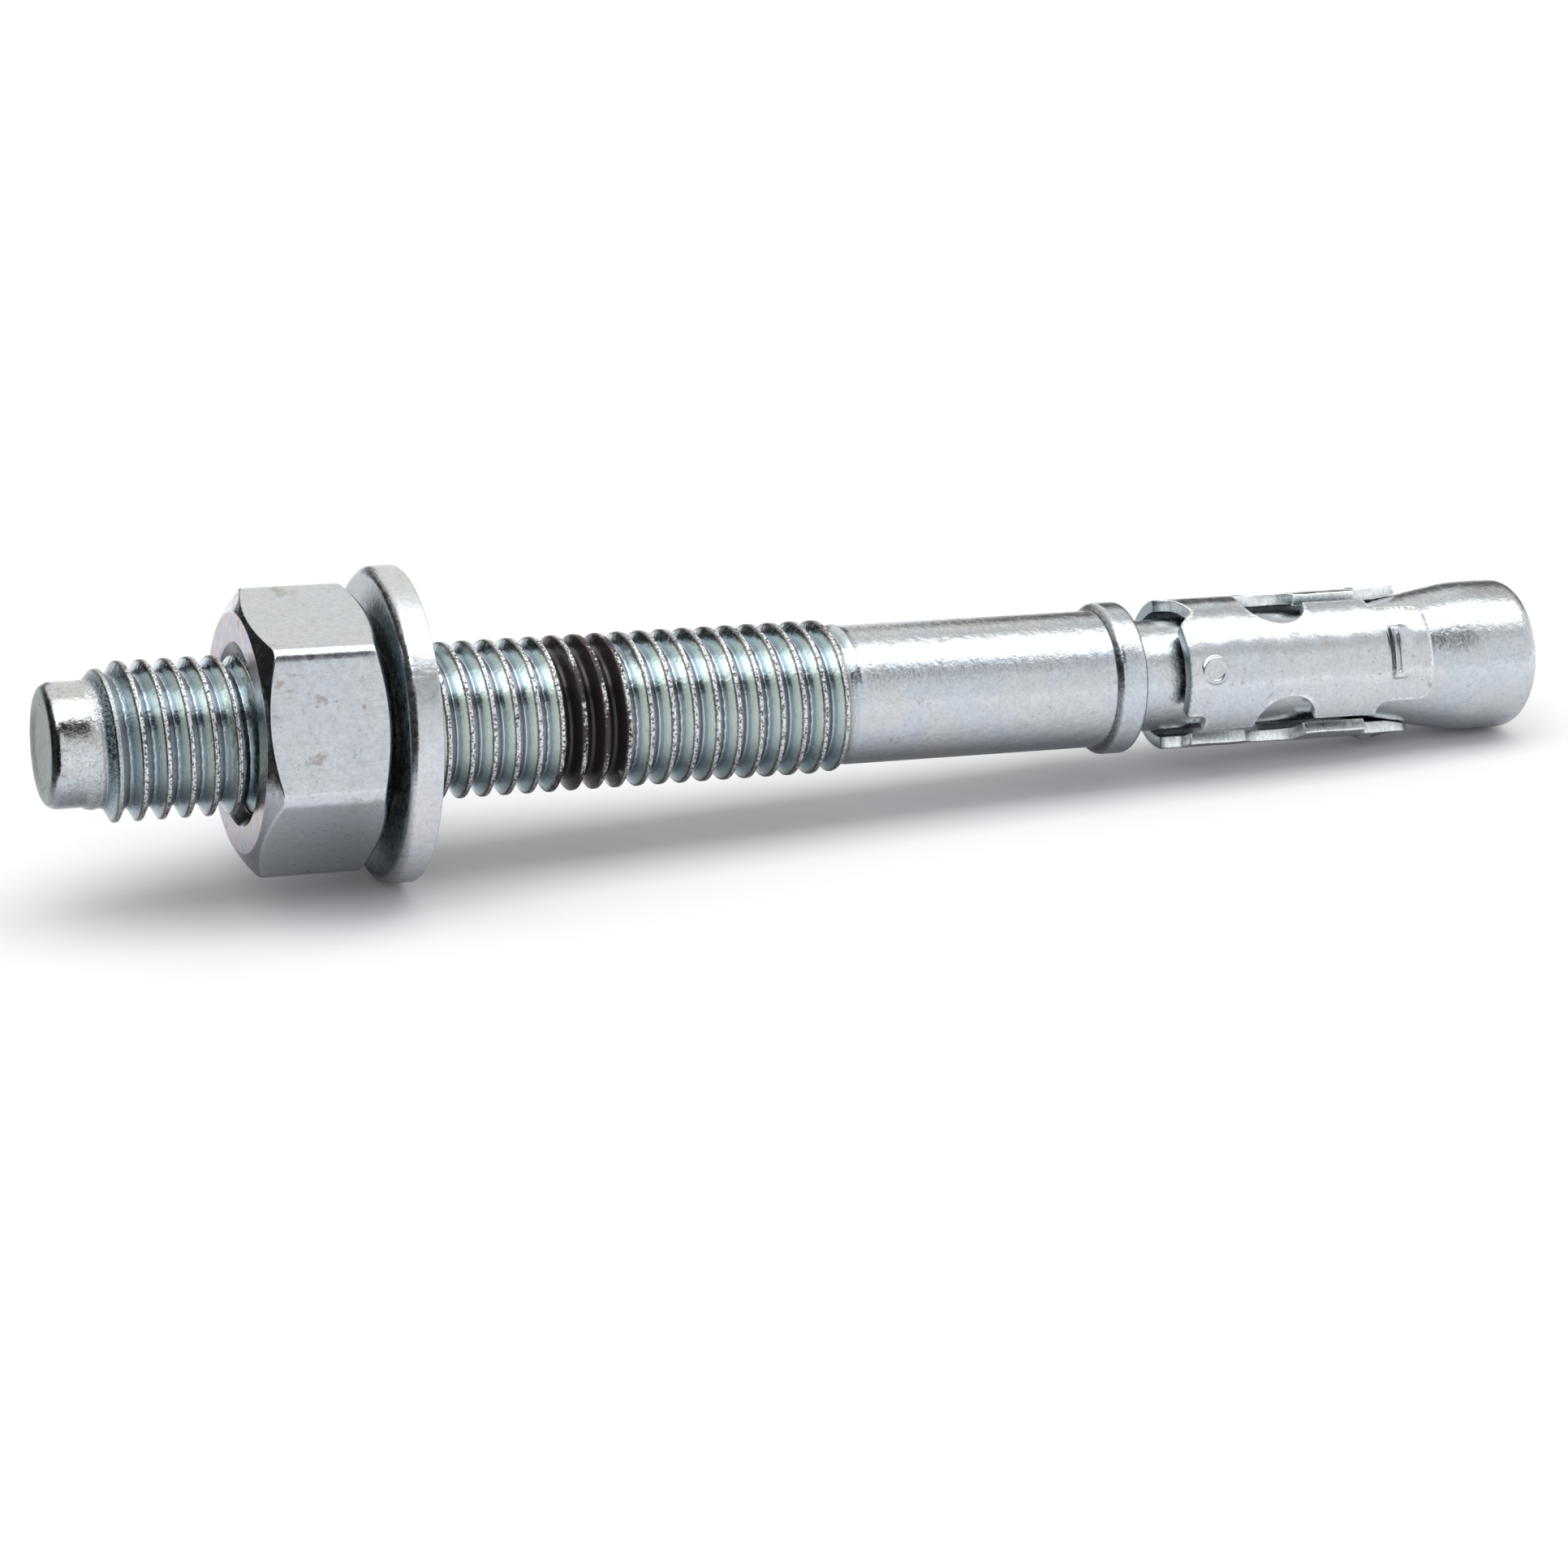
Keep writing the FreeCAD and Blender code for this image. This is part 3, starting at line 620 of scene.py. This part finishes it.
# %% Nodes and numbers
def add(tree, kind, settings=None, **inputs):
    """A new node. Settings are its properties, inputs are numbers, colours or outputs of other nodes.

    An input is named after its socket, with _ for a space, or by its number, as in i0.
    """
    made = tree.nodes.new(kind)
    for key, setting in (settings or {}).items():
        setattr(made, key, setting)
    for key, given in inputs.items():
        by_number = key[0] == "i" and key[1:].isdigit()
        socket = made.inputs[int(key[1:])] if by_number else made.inputs[key.replace("_", " ")]
        if isinstance(given, bpy.types.NodeSocket):
            tree.links.new(given, socket)
        else:
            socket.default_value = given
    return made


def after(kind, settings=None, **inputs):
    """A new node in the tree of the outputs that it is given."""
    tree = next(given.id_data for given in inputs.values() if isinstance(given, bpy.types.NodeSocket))
    return add(tree, kind, settings, **inputs)


def maths(operation, *values):
    """A number worked out from numbers or outputs, at least one of them an output."""
    inputs = {f"i{k}": value for k, value in enumerate(values)}
    return after("ShaderNodeMath", {"operation": operation}, **inputs).outputs[0]


def times(one, other):
    """one * other"""
    return maths("MULTIPLY", one, other)


def plus(one, other):
    """one + other"""
    return maths("ADD", one, other)


def minus(one, other):
    """one - other"""
    return maths("SUBTRACT", one, other)


def between(number, low, high, to_low=0.0, to_high=1.0):
    """The number's place between low and high, eased, as a number from to_low to to_high."""
    settings = {"interpolation_type": "SMOOTHSTEP"}
    return after("ShaderNodeMapRange", settings, i0=number, i1=low, i2=high, i3=to_low, i4=to_high).outputs[0]


def fading(number, start, end, strength=1.0):
    """The strength up to the start, eased down to 0 at the end."""
    return between(number, start, end, strength, 0.0)


def stretch(number, start, full, fades, end):
    """1 between full and fades, eased down to 0 at the start and at the end."""
    return times(between(number, start, full), fading(number, fades, end))


# %% Colours, noises and bumps
def colour(red, green, blue):
    """A colour as the shader sockets want it, with full alpha."""
    return (red, green, blue, 1.0)


def mixed(share, one, other):
    """One colour passing into the other as the share goes from 0 to 1."""
    return after("ShaderNodeMix", {"data_type": "RGBA"}, i0=share, i6=one, i7=other).outputs[2]


def veiled(tint, mask, strength, veil):
    """The tint under a veil of another colour, as dense as mask times strength."""
    return mixed(times(mask, strength), tint, veil)


def noise(place, scale, detail=2.0, rough=0.5, twist=0.0):
    """A noise between 0 and 1 whose lumps are about 1 / scale millimetres wide."""
    knobs = {"Scale": scale, "Detail": detail, "Roughness": rough, "Distortion": twist}
    return after("ShaderNodeTexNoise", Vector=place, **knobs).outputs[0]


def scaled(place, scale, rotation=(0.0, 0.0, 0.0)):
    """The place turned and scaled by axis, so that a noise read there is drawn out into lines."""
    return after("ShaderNodeMapping", Vector=place, Scale=scale, Rotation=rotation).outputs[0]


def bump(metres, height, normal):
    """The normal tipped by a height map that is this many metres high."""
    return after("ShaderNodeBump", Distance=metres, Height=height, Normal=normal).outputs[0]


def noted(tree, label):
    """A number that was kept on the piece's points."""
    return add(tree, "ShaderNodeAttribute", {"attribute_name": label}).outputs["Fac"]


def object_place(tree):
    """The place in the piece's own metres."""
    return add(tree, "ShaderNodeTexCoord").outputs["Object"]


def fit(shader, outputs):
    """Link each output to the shader's socket of that name."""
    for name, output in outputs.items():
        shader.id_data.links.new(output, shader.inputs[name])


WHITE = colour(1.0, 1.0, 1.0)
STAIN, SPECK, SCRATCH = colour(0.30, 0.25, 0.21), colour(0.16, 0.13, 0.11), colour(0.26, 0.27, 0.28)
print("colours of wear:", STAIN[:3], SPECK[:3], SCRATCH[:3])

# %% [markdown]
# ## Bright zinc plating
# All four pieces are steel with a thin bright zinc coat. Zinc is a bluish white metal, and its clear
# passivation adds the faintest yellow, pink and green. The coat is never smooth: fine grains break up the
# edge of each reflection, dull brownish specks sit in it, drawn or punched faces carry faint streaks, and
# handling leaves scuffs and scratches. A few noises, measured in millimetres on the piece, give all of that,
# and each piece chooses its own colours and strengths. The place comes from Object coordinates, scaled from
# metres to millimetres. They ride with the piece, so the finish doesn't slide when the nut turns.

# %% Zinc plating
def zinc(piece, name, cool, warm, roughness, grain, scuffs, spots, streaks=None):
    """Give the piece a zinc coat. Returns its tree, its shader and the outputs that more can be built on.

    Grain is the height of the fine grains in micrometres, and scuffs and spots say how much there is of each.
    Streaks, where given, are the scales that draw a noise out into lines.
    """
    material = bpy.data.materials.new(name)
    material.use_nodes = True
    piece.data.materials.append(material)
    tree = material.node_tree
    steel = tree.nodes["Principled BSDF"]
    steel.inputs["Metallic"].default_value = 1.0
    metres = object_place(tree)
    place = after("ShaderNodeVectorMath", {"operation": "SCALE"}, Vector=metres, Scale=1000.0).outputs[0]

    def darker(share):
        """The cool colour at a share of its brightness."""
        return colour(*[share * part for part in cool[:3]])

    # Wide patches pass from cool to warm, and mottle, grains and streaks darken the coat a little.
    patches = noise(place, 0.22, 3.0)
    mottle = noise(place, 1.6, 4.0, 0.6)
    grains = noise(place, 3.4, 4.0, 0.62)
    tint = mixed(between(patches, 0.38, 0.62), cool, warm)
    tint = mixed(between(mottle, 0.35, 0.75, 0.0, 0.25), tint, darker(0.72))
    tint = mixed(between(grains, 0.4, 0.66, 0.0, 0.3), tint, darker(0.62))
    if streaks:
        line = noise(scaled(place, streaks), 1.0, 3.0, 0.6)
        tint = mixed(between(line, 0.52, 0.7, 0.0, 0.28), tint, darker(0.6))

    # Scuffs, specks and two sets of scratches lie over that.
    worn_noise = noise(place, 0.55, 6.0, 0.68, 0.4)
    worn = between(worn_noise, 0.66 - 0.06 * scuffs, 0.72 - 0.03 * scuffs)
    tint = veiled(tint, worn, 0.55, STAIN)
    speck = between(noise(place, 2.6, 4.0, 0.75), 0.7 - 0.06 * spots, 0.76 - 0.05 * spots)
    tint = veiled(tint, speck, 0.6, SPECK)
    for turn in (0.5, 2.1):
        drawn = scaled(place, (0.5, 7.0, 2.0), (turn, 0.3, turn))
        tint = veiled(tint, between(noise(drawn, 1.0, 3.0, 0.55), 0.7, 0.76), 0.35, SCRATCH)

    # The mottle and the scuffs change the gloss, and the grains and the mottle are also a bump.
    dull = between(mottle, 0.3, 0.7, roughness - 0.05, roughness + 0.07)
    dull = plus(dull, times(maths("MAXIMUM", worn, speck), 0.2))
    bumps = after("ShaderNodeBump", Distance=grain * 1e-6, Height=grains)
    waves = after("ShaderNodeBump", Distance=2.2 * grain * 1e-6, Height=mottle, Normal=bumps.outputs[0])
    fit(steel, {"Base Color": tint, "Roughness": dull, "Normal": waves.outputs[0]})
    parts = {"place": place, "tint": tint, "dull": dull, "mottle": mottle, "normal": waves.outputs[0],
             "bumps": (bumps, waves)}
    return tree, steel, parts


# %% [markdown]
# ## The stud's finish
# The rolled thread is smoother and a little greener than the satin shank. Across each turn the colour is
# partly the clear film's tint and partly painted light: the dark root and a dark line just past each crest
# are painted shade, a golden stripe beside the root is a painted highlight, and the passage from blue to grey
# up the flank is partly tint and partly painted reflection. Its crests are pale and rough with brown specks,
# where the crease and the rub of the nut have left their mark, and a thin black line of painted shade follows
# the burr beside each. The colours are written against the distance from the nearest crest, so they follow
# the helix.

# %% Stud: the film on the thread
# Colours across one turn of the thread: the film's tint, with painted shade in the root and just past each
# crest, and a painted highlight beside the root.
FILM_AND_PAINTED_LIGHT = [
    (0.0, (0.17, 0.20, 0.26)), (0.04, (0.21, 0.33, 0.46)), (0.1, (0.40, 0.58, 0.70)),
    (0.22, (0.56, 0.69, 0.715)), (0.34, (0.64, 0.715, 0.70)), (0.5, (0.62, 0.63, 0.62)),
    (0.585, (0.64, 0.62, 0.59)), (0.62, (0.28, 0.28, 0.29)), (0.67, (0.71, 0.71, 0.68)),
    (0.86, (0.76, 0.73, 0.66)), (0.93, (0.88, 0.77, 0.52)), (0.965, (0.36, 0.33, 0.32)),
    (1.0, (0.17, 0.20, 0.26)),
]

tree, steel, parts = zinc(
    stud, "zinc_on_stud", colour(0.56, 0.61, 0.665), colour(0.595, 0.615, 0.625),
    roughness=0.21, grain=20.0, scuffs=0.9, spots=0.8)
place = parts["place"]
along, out, across = (noted(tree, label) for label in ("along", "out", "across"))
on_thread = stretch(along, 3.0, 4.2, 60.6, 62.2)
film_and_painted_light = after("ShaderNodeValToRGB", Fac=between(across, -PITCH / 2, PITCH / 2))
film_and_painted_light.color_ramp.interpolation = "EASE"
for k, (spot, shade) in enumerate(FILM_AND_PAINTED_LIGHT):
    stop = film_and_painted_light.color_ramp.elements[k] if k < 2 else film_and_painted_light.color_ramp.elements.new(spot)
    stop.position = spot
    stop.color = colour(*shade)
tint = veiled(parts["tint"], on_thread, 0.9, film_and_painted_light.outputs[0])
pits = between(noise(place, 4.2, 3.0, 0.7), 0.68, 0.74)
tint = veiled(tint, times(pits, on_thread), 0.6, colour(0.10, 0.11, 0.11))
print("the film has", len(FILM_AND_PAINTED_LIGHT), "colours")

# %% [markdown]
# The free end was sheared off, so its face is a dull grey-green. The first turns next to it carry a painted
# shade and are grimy, the crests are speckled, and a dark line of painted shade marks the corner where the
# shank meets the collar.

# %% Stud: sheared end, grime, crests and corners
sheared = fading(along, 0.13, 0.4)
face_tint = mixed(between(parts["mottle"], 0.35, 0.6), colour(0.13, 0.205, 0.19), colour(0.29, 0.36, 0.335))
tint = veiled(tint, sheared, 0.85, face_tint)
# Painted shade on the thread, strongest near the tip and gone 18 mm along.
tint = veiled(tint, on_thread, fading(along, 4.0, 18.0, 0.4), colour(0.21, 0.28, 0.33))
speckle = noise(place, 4.6, 4.0, 0.75)
grime = between(speckle, 0.52, 0.62)
tint = veiled(tint, grime, fading(along, 3.5, 8.0, 0.6), colour(0.22, 0.20, 0.18))

crest = times(between(out, 5.76, 5.86), on_thread)
crest_tint = mixed(between(speckle, 0.48, 0.57), colour(0.80, 0.80, 0.82), colour(0.06, 0.05, 0.05))
tint = veiled(tint, crest, 0.9, crest_tint)
# A thin black line of painted shade with a ragged edge, along the burr beside each crest.
ragged = plus(across, times(minus(speckle, 0.5), 0.22))
burr_shade_line = times(stretch(ragged, -0.27, -0.2, -0.17, -0.12), on_thread)
tint = veiled(tint, burr_shade_line, 0.8, colour(0.05, 0.05, 0.06))
# A dark line of painted shade in the corner where the shank meets the collar.
corner = stretch(along, SHANK_TO - 0.1, SHANK_TO + 0.02, SHANK_TO + 0.1, SHANK_TO + 0.45)
tint = veiled(tint, corner, between(speckle, 0.3, 0.6, 0.9, 0.5), colour(0.07, 0.07, 0.075))
print(len(tree.nodes), "nodes so far")

# %% [markdown]
# A band of black paint marks how deep the anchor goes. It fills the roots and has been rubbed off the crests,
# so the mask follows the thread: a place along the bolt with an uneven edge, less the high spots. Paint isn't
# metal, so the same mask takes the metallic look away.

# %% Stud: the ring of paint
wander = times(minus(noise(place, 0.5, 4.0, 0.6), 0.5), 1.6)
band = stretch(plus(along, wander), 37.9, 38.15, 43.1, 43.4)
high_spots = between(out, 5.55, 5.88, -0.3, 0.14)
patch = times(noise(place, 0.3, 2.0, 0.5), 0.9)
flakes = times(noise(place, 3.6, 4.0, 0.75), 0.75)
rubbed = between(plus(plus(patch, flakes), high_spots), 0.98, 1.01)
paint = times(band, minus(1.0, rubbed))
paint_tint = mixed(between(out, 5.2, 5.9), colour(0.009, 0.008, 0.009), colour(0.024, 0.014, 0.014))
tint = mixed(paint, tint, paint_tint)
print(len(tree.nodes), "nodes with the paint")

# %% [markdown]
# Gloss and bumps come last. The thread is glossier than the shank, the crests, the paint and the sheared end
# are duller, the dog point has a calmer grain, and the first ridge is rough, with dark flecks.

# %% Stud: gloss and bumps
rough = minus(parts["dull"], times(on_thread, 0.07))
rough = plus(rough, times(crest, 0.12))
rough = plus(rough, times(paint, 0.02))
rough = minus(rough, fading(along, 2.5, 7.5, 0.06))
rough = plus(rough, times(sheared, 0.17))
calm_dog = between(along, 2.4, 3.4, 0.4, 1.0)
for layer in parts["bumps"]:
    tree.links.new(calm_dog, layer.inputs["Strength"])

first_ridge = times(between(along, 2.5, 3.0), fading(along, 4.6, 5.6, 0.4))
flecks = times(between(speckle, 0.47, 0.56), first_ridge)
tip_bump = times(between(along, 2.5, 3.3, 0.6, 2.6), fading(along, 4.0, 7.5))
tip_height = times(noise(place, 3.2, 4.0, 0.65), tip_bump)
crest_normal = bump(-5e-5, times(crest, speckle), parts["normal"])
fit(steel, {
    "Base Color": tint,
    "Roughness": rough,
    "Metallic": minus(minus(1.0, paint), flecks),
    "Normal": bump(3.2e-5, tip_height, crest_normal),
})
print("the stud's material has", len(tree.nodes), "nodes")

# %% [markdown]
# ## The nut's finish
# The nut's flats are the smoothest faces, with drawn streaks and a few brown stains. Its outer end face is
# darkened by oil in brown and violet patches, and its bore is painted dark as the shade inside it.

# %% Nut material
tree, steel, parts = zinc(
    nut, "zinc_on_nut", colour(0.59, 0.63, 0.69), colour(0.60, 0.635, 0.67),
    roughness=0.18, grain=4.5, scuffs=1.3, spots=1.1, streaks=(0.3, 7.0, 7.0))
oil = mixed(between(noise(parts["place"], 0.45, 3.0, 0.6, 0.8), 0.42, 0.58),
            colour(0.34, 0.275, 0.225), colour(0.27, 0.265, 0.38))
oil = mixed(between(noise(parts["place"], 1.1, 4.0, 0.6, 1.2), 0.5, 0.68), oil, colour(0.43, 0.42, 0.38))
end_face = fading(noted(tree, "along"), NUT_FROM, NUT_FROM + 0.06)
# Painted shade inside the bore.
bore_shade = fading(noted(tree, "out"), MOUTH - 0.2, MOUTH - 0.02)
tint = veiled(parts["tint"], end_face, 0.85, oil)
tint = veiled(tint, bore_shade, 0.85, colour(0.05, 0.055, 0.06))
fit(steel, {"Base Color": tint})
print("the nut's material has", len(tree.nodes), "nodes")

# %% [markdown]
# ## The washer's finish
# The washer is duller than the nut, most of all on its rim. The side towards the nut is painted darker, as
# the shade in the gap between nut and washer.

# %% Washer material
tree, steel, parts = zinc(
    washer, "zinc_on_washer", colour(0.61, 0.65, 0.69), colour(0.64, 0.65, 0.66),
    roughness=0.25, grain=14.0, scuffs=0.4, spots=0.5, streaks=(0.6, 5.0, 5.0))
# Painted shade on the face towards the nut, where the gap between nut and washer is dark.
nut_side_shade = fading(noted(tree, "along"), WASHER_FROM, WASHER_FROM + 0.2)
gap_shade_tint = mixed(between(parts["mottle"], 0.3, 0.7), colour(0.23, 0.285, 0.31), colour(0.35, 0.385, 0.395))
rim_mask = between(noted(tree, "out"), WASHER_OUT - 0.1, WASHER_OUT - 0.02)
fit(steel, {
    "Base Color": veiled(parts["tint"], nut_side_shade, 0.9, gap_shade_tint),
    "Roughness": plus(parts["dull"], times(rim_mask, 0.09)),
})
print("the washer's material has", len(tree.nodes), "nodes")

# %% [markdown]
# ## The sleeve's finish
# The sleeve was bright strip, so its faces are clean. Its cut walls are torn bright metal with streaks
# through the thickness. Only the wall of its rear edge, which faces the collar across a narrow gap, is
# painted dark, as the shade in that gap.

# %% Sleeve material
tree, steel, parts = zinc(
    sleeve, "zinc_on_sleeve", colour(0.58, 0.63, 0.68), colour(0.615, 0.64, 0.665),
    roughness=0.2, grain=8.0, scuffs=1.3, spots=1.2)
cut_wall = noted(tree, "cut")
torn = noise(scaled(parts["place"], (5.0, 2.0, 2.0)), 1.0, 5.0, 0.7)
tint = mixed(cut_wall, parts["tint"], colour(0.90, 0.93, 0.95))
tint = veiled(tint, cut_wall, between(torn, 0.4, 0.7), colour(0.60, 0.67, 0.69))
# Painted shade on the rear edge's wall, which faces the collar across a narrow gap.
rear_edge_shade = fading(noted(tree, "along"), SLEEVE_FROM + 0.1, SLEEVE_FROM + 0.6)
tint = veiled(tint, times(cut_wall, rear_edge_shade), 0.85, colour(0.17, 0.22, 0.24))
fit(steel, {
    "Base Color": tint,
    "Roughness": plus(parts["dull"], times(cut_wall, 0.08)),
    "Normal": bump(3e-5, times(cut_wall, torn), parts["normal"]),
})
print("materials:", [material.name for material in bpy.data.materials if material.users])

# %% [markdown]
# ## Table
# Bright metal shows its surroundings more than itself. Here they are a white table and white walls all round.
# The table glows a little away from the anchor, for the camera and for reflections only, so that it passes
# into the white background. Close to the anchor it looks darker in reflections, which stands for the shade
# that the anchor's underside sees there.

# %% Helpers for the set
def stage_piece(name, corners, faces, material):
    """A mesh that belongs to the stage, not to the anchor."""
    mesh = bpy.data.meshes.new(name)
    mesh.from_pydata(corners, [], faces)
    mesh.materials.append(material)
    made = placed(name, mesh)
    return made


def flat_panel(name, left, right, near, far, material):
    """One face from left to right whose near and far edges are given as (y, z)."""
    corners = [(left, *near), (right, *near), (right, *far), (left, *far)]
    return stage_piece(name, corners, [(0, 1, 2, 3)], material)


def rays(tree):
    """1 for rays from the camera and for mirrored or passing ones, and 1 for mirrored rays alone."""
    path = add(tree, "ShaderNodeLightPath").outputs
    either = maths("MAXIMUM", path["Is Camera Ray"], path["Is Glossy Ray"])
    return maths("MAXIMUM", either, path["Is Transmission Ray"]), path["Is Glossy Ray"]


# %% Table
TABLE_HALF, TABLE_TOP = 4, -0.0001
table_top = bpy.data.materials.new("white_table")
table_top.use_nodes = True
tree = table_top.node_tree
tree.nodes.remove(tree.nodes["Principled BSDF"])
seen, mirrored = rays(tree)
ground = after("ShaderNodeSeparateXYZ", Vector=object_place(tree)).outputs
under = times(fading(maths("ABSOLUTE", ground[1]), 0.001, 0.017),
              fading(maths("ABSOLUTE", ground[0]), 0.066, 0.08))
under = times(under, between(ground[0], 0.032, 0.05, 1.0, 0.4))
shade = mixed(times(under, mirrored), colour(0.878, 0.874, 0.892), colour(0.47, 0.47, 0.48))
matt = after("ShaderNodeBsdfDiffuse", Color=shade)
distance = after("ShaderNodeVectorMath", {"operation": "LENGTH"}, Vector=object_place(tree)).outputs["Value"]
glow = times(seen, between(distance, 0.05, 0.14, 0.0, 0.25))
lift = after("ShaderNodeEmission", Color=WHITE, Strength=glow)
both = after("ShaderNodeAddShader", i0=matt.outputs[0], i1=lift.outputs[0])
fit(tree.nodes["Material Output"], {"Surface": both.outputs[0]})
flat_panel("table", -TABLE_HALF, TABLE_HALF, (-TABLE_HALF, TABLE_TOP), (TABLE_HALF, TABLE_TOP), table_top)
print("the table is", 2 * TABLE_HALF, "m wide")

# %% [markdown]
# ## Panels that only reflections see
# A panel above the camera, dark on the left and pale on the right, ends the bright band along the bolt in a
# darker edge. Dark cards to the left and close to the tip draw the black lines on every edge that faces them,
# two more above darken the thread and the dog point under the band, and a grey and a pale card behind tone
# the far flanks. They cast no shadow and stay out of every picture.

# %% Reflected panels
def emission(name, level):
    """A plain glowing grey, for things that are seen only in reflections."""
    material = bpy.data.materials.new(name)
    material.use_nodes = True
    tree = material.node_tree
    tree.nodes.remove(tree.nodes["Principled BSDF"])
    glow = add(tree, "ShaderNodeEmission", Color=colour(level, level, level), Strength=1.0)
    fit(tree.nodes["Material Output"], {"Surface": glow.outputs[0]})
    return material


def upright(name, path, low, high, level):
    """A card that stands along the path of (x, y) places, from one height to another."""
    corners = [(x, y, z) for x, y in path for z in (low, high)]
    faces = [(2 * k, 2 * k + 1, 2 * k + 3, 2 * k + 2) for k in range(len(path) - 1)]
    return stage_piece(name, corners, faces, emission(name, level))


cards = [
    upright("dark_card_far_left", [(-0.26, -0.2), (-0.26, 0.75), (0.05, 0.75)], 0.0, 0.2, 0.02),
    upright("dark_card_near_tip", [(-0.076, -0.03), (-0.076, 0.036)], 0.0, 0.03, 0.01),
    upright("grey_card_behind", [(0.183, 0.4), (0.8, 0.4)], 0.0, 0.24, 0.12),
    upright("pale_card_behind", [(0.33, 0.4), (1.2, 0.4)], 0.24, 0.95, 0.68),
    upright("dark_card_over_dog", [(0.03, -0.6), (0.1, -0.6)], 0.305, 0.375, 0.02),
    flat_panel("dark_card_over_tip", 0.03, 0.195, (-0.6, 0.375), (-0.5, 0.445),
               emission("dark_card_over_tip", 0.03)),
    flat_panel("panel_over_camera", -0.9, 0.9, (-0.5, 0.445), (-0.31, 0.60), emission("grey_panel", 1.0)),
]
tree = cards[-1].data.materials[0].node_tree
sideways = after("ShaderNodeSeparateXYZ", Vector=object_place(tree)).outputs[0]
fit(tree.nodes["Emission"], {"Strength": between(sideways, 0.13, 0.33, 0.02, 0.75)})
for card in cards:
    card.visible_camera = card.visible_diffuse = card.visible_shadow = False
    card.visible_transmission = card.visible_volume_scatter = False
print("reflected panels:", [card.name for card in cards])

# %% [markdown]
# ## Lamp and walls
# One broad soft lamp overhead gives the bright band along the bolt and the soft shadow. The white walls are
# the world's own light. They are a little dimmer for the light that falls on surfaces than for what is seen
# of them, and in reflections they are slightly warmer behind the anchor, so that the upper half of each round
# face doesn't look blue.

# %% Lamp and walls
lamp = bpy.data.lights.new("soft_lamp", "AREA")
lamp.shape = "RECTANGLE"
lamp.size, lamp.size_y = 1.8, 0.58
lamp.energy = 6.0
placed("soft_lamp", lamp).location = (0.0, -0.06, 0.8)

walls = bpy.data.worlds.new("white_walls")
bpy.context.scene.world = walls
walls.use_nodes = True
tree = walls.node_tree
seen, mirrored = rays(tree)
heading = after("ShaderNodeSeparateXYZ", Vector=add(tree, "ShaderNodeTexCoord").outputs["Generated"]).outputs
behind = times(mirrored, between(heading[1], -0.1, 0.3))
fit(tree.nodes["Background"], {
    "Color": mixed(behind, WHITE, colour(1.04, 1.015, 0.955)),
    "Strength": between(seen, 0.0, 1.0, 0.70, 1.0),
})
print("lamp", lamp.energy, "W,", round(lamp.size, 2), "by", round(lamp.size_y, 2), "m")

# %% [markdown]
# ## Camera
# The photograph was taken with a long lens from the front left, 21 degrees above the table. The lens and the
# place were worked out from the washer's rim, the thread's pitch and the shank's straight sides.

# %% Camera
RIGHT, RISE = (0.93621, -0.35144, 0.0), (0.12598, 0.33560, 0.93354)
FORWARD = (0.32809, 0.87399, -0.35847)
CAMERA_PLACE = (-0.118283, -0.307838, 0.129112)
camera = bpy.data.cameras.new("camera")
camera.sensor_width = 36.0
camera.lens = 104.45
camera.clip_start, camera.clip_end = 0.01, 20.0
camera_object = placed("camera", camera)
turned_to = Matrix([RIGHT, RISE, tuple(-part for part in FORWARD)]).transposed()
camera_object.matrix_world = Matrix.Translation(CAMERA_PLACE) @ turned_to.to_4x4()
bpy.context.scene.camera = camera_object
bpy.context.scene.view_settings.view_transform = "Standard"
half_view = math.atan(camera.sensor_width / 2 / camera.lens)
print("camera", round(math.degrees(2 * half_view), 2), "degrees wide")

# %% [markdown]
# ## Finish
# The scene is brought up to date at the end. The dressed model must not outgrow the CAD model.

# %% Finish
bpy.context.view_layer.update()
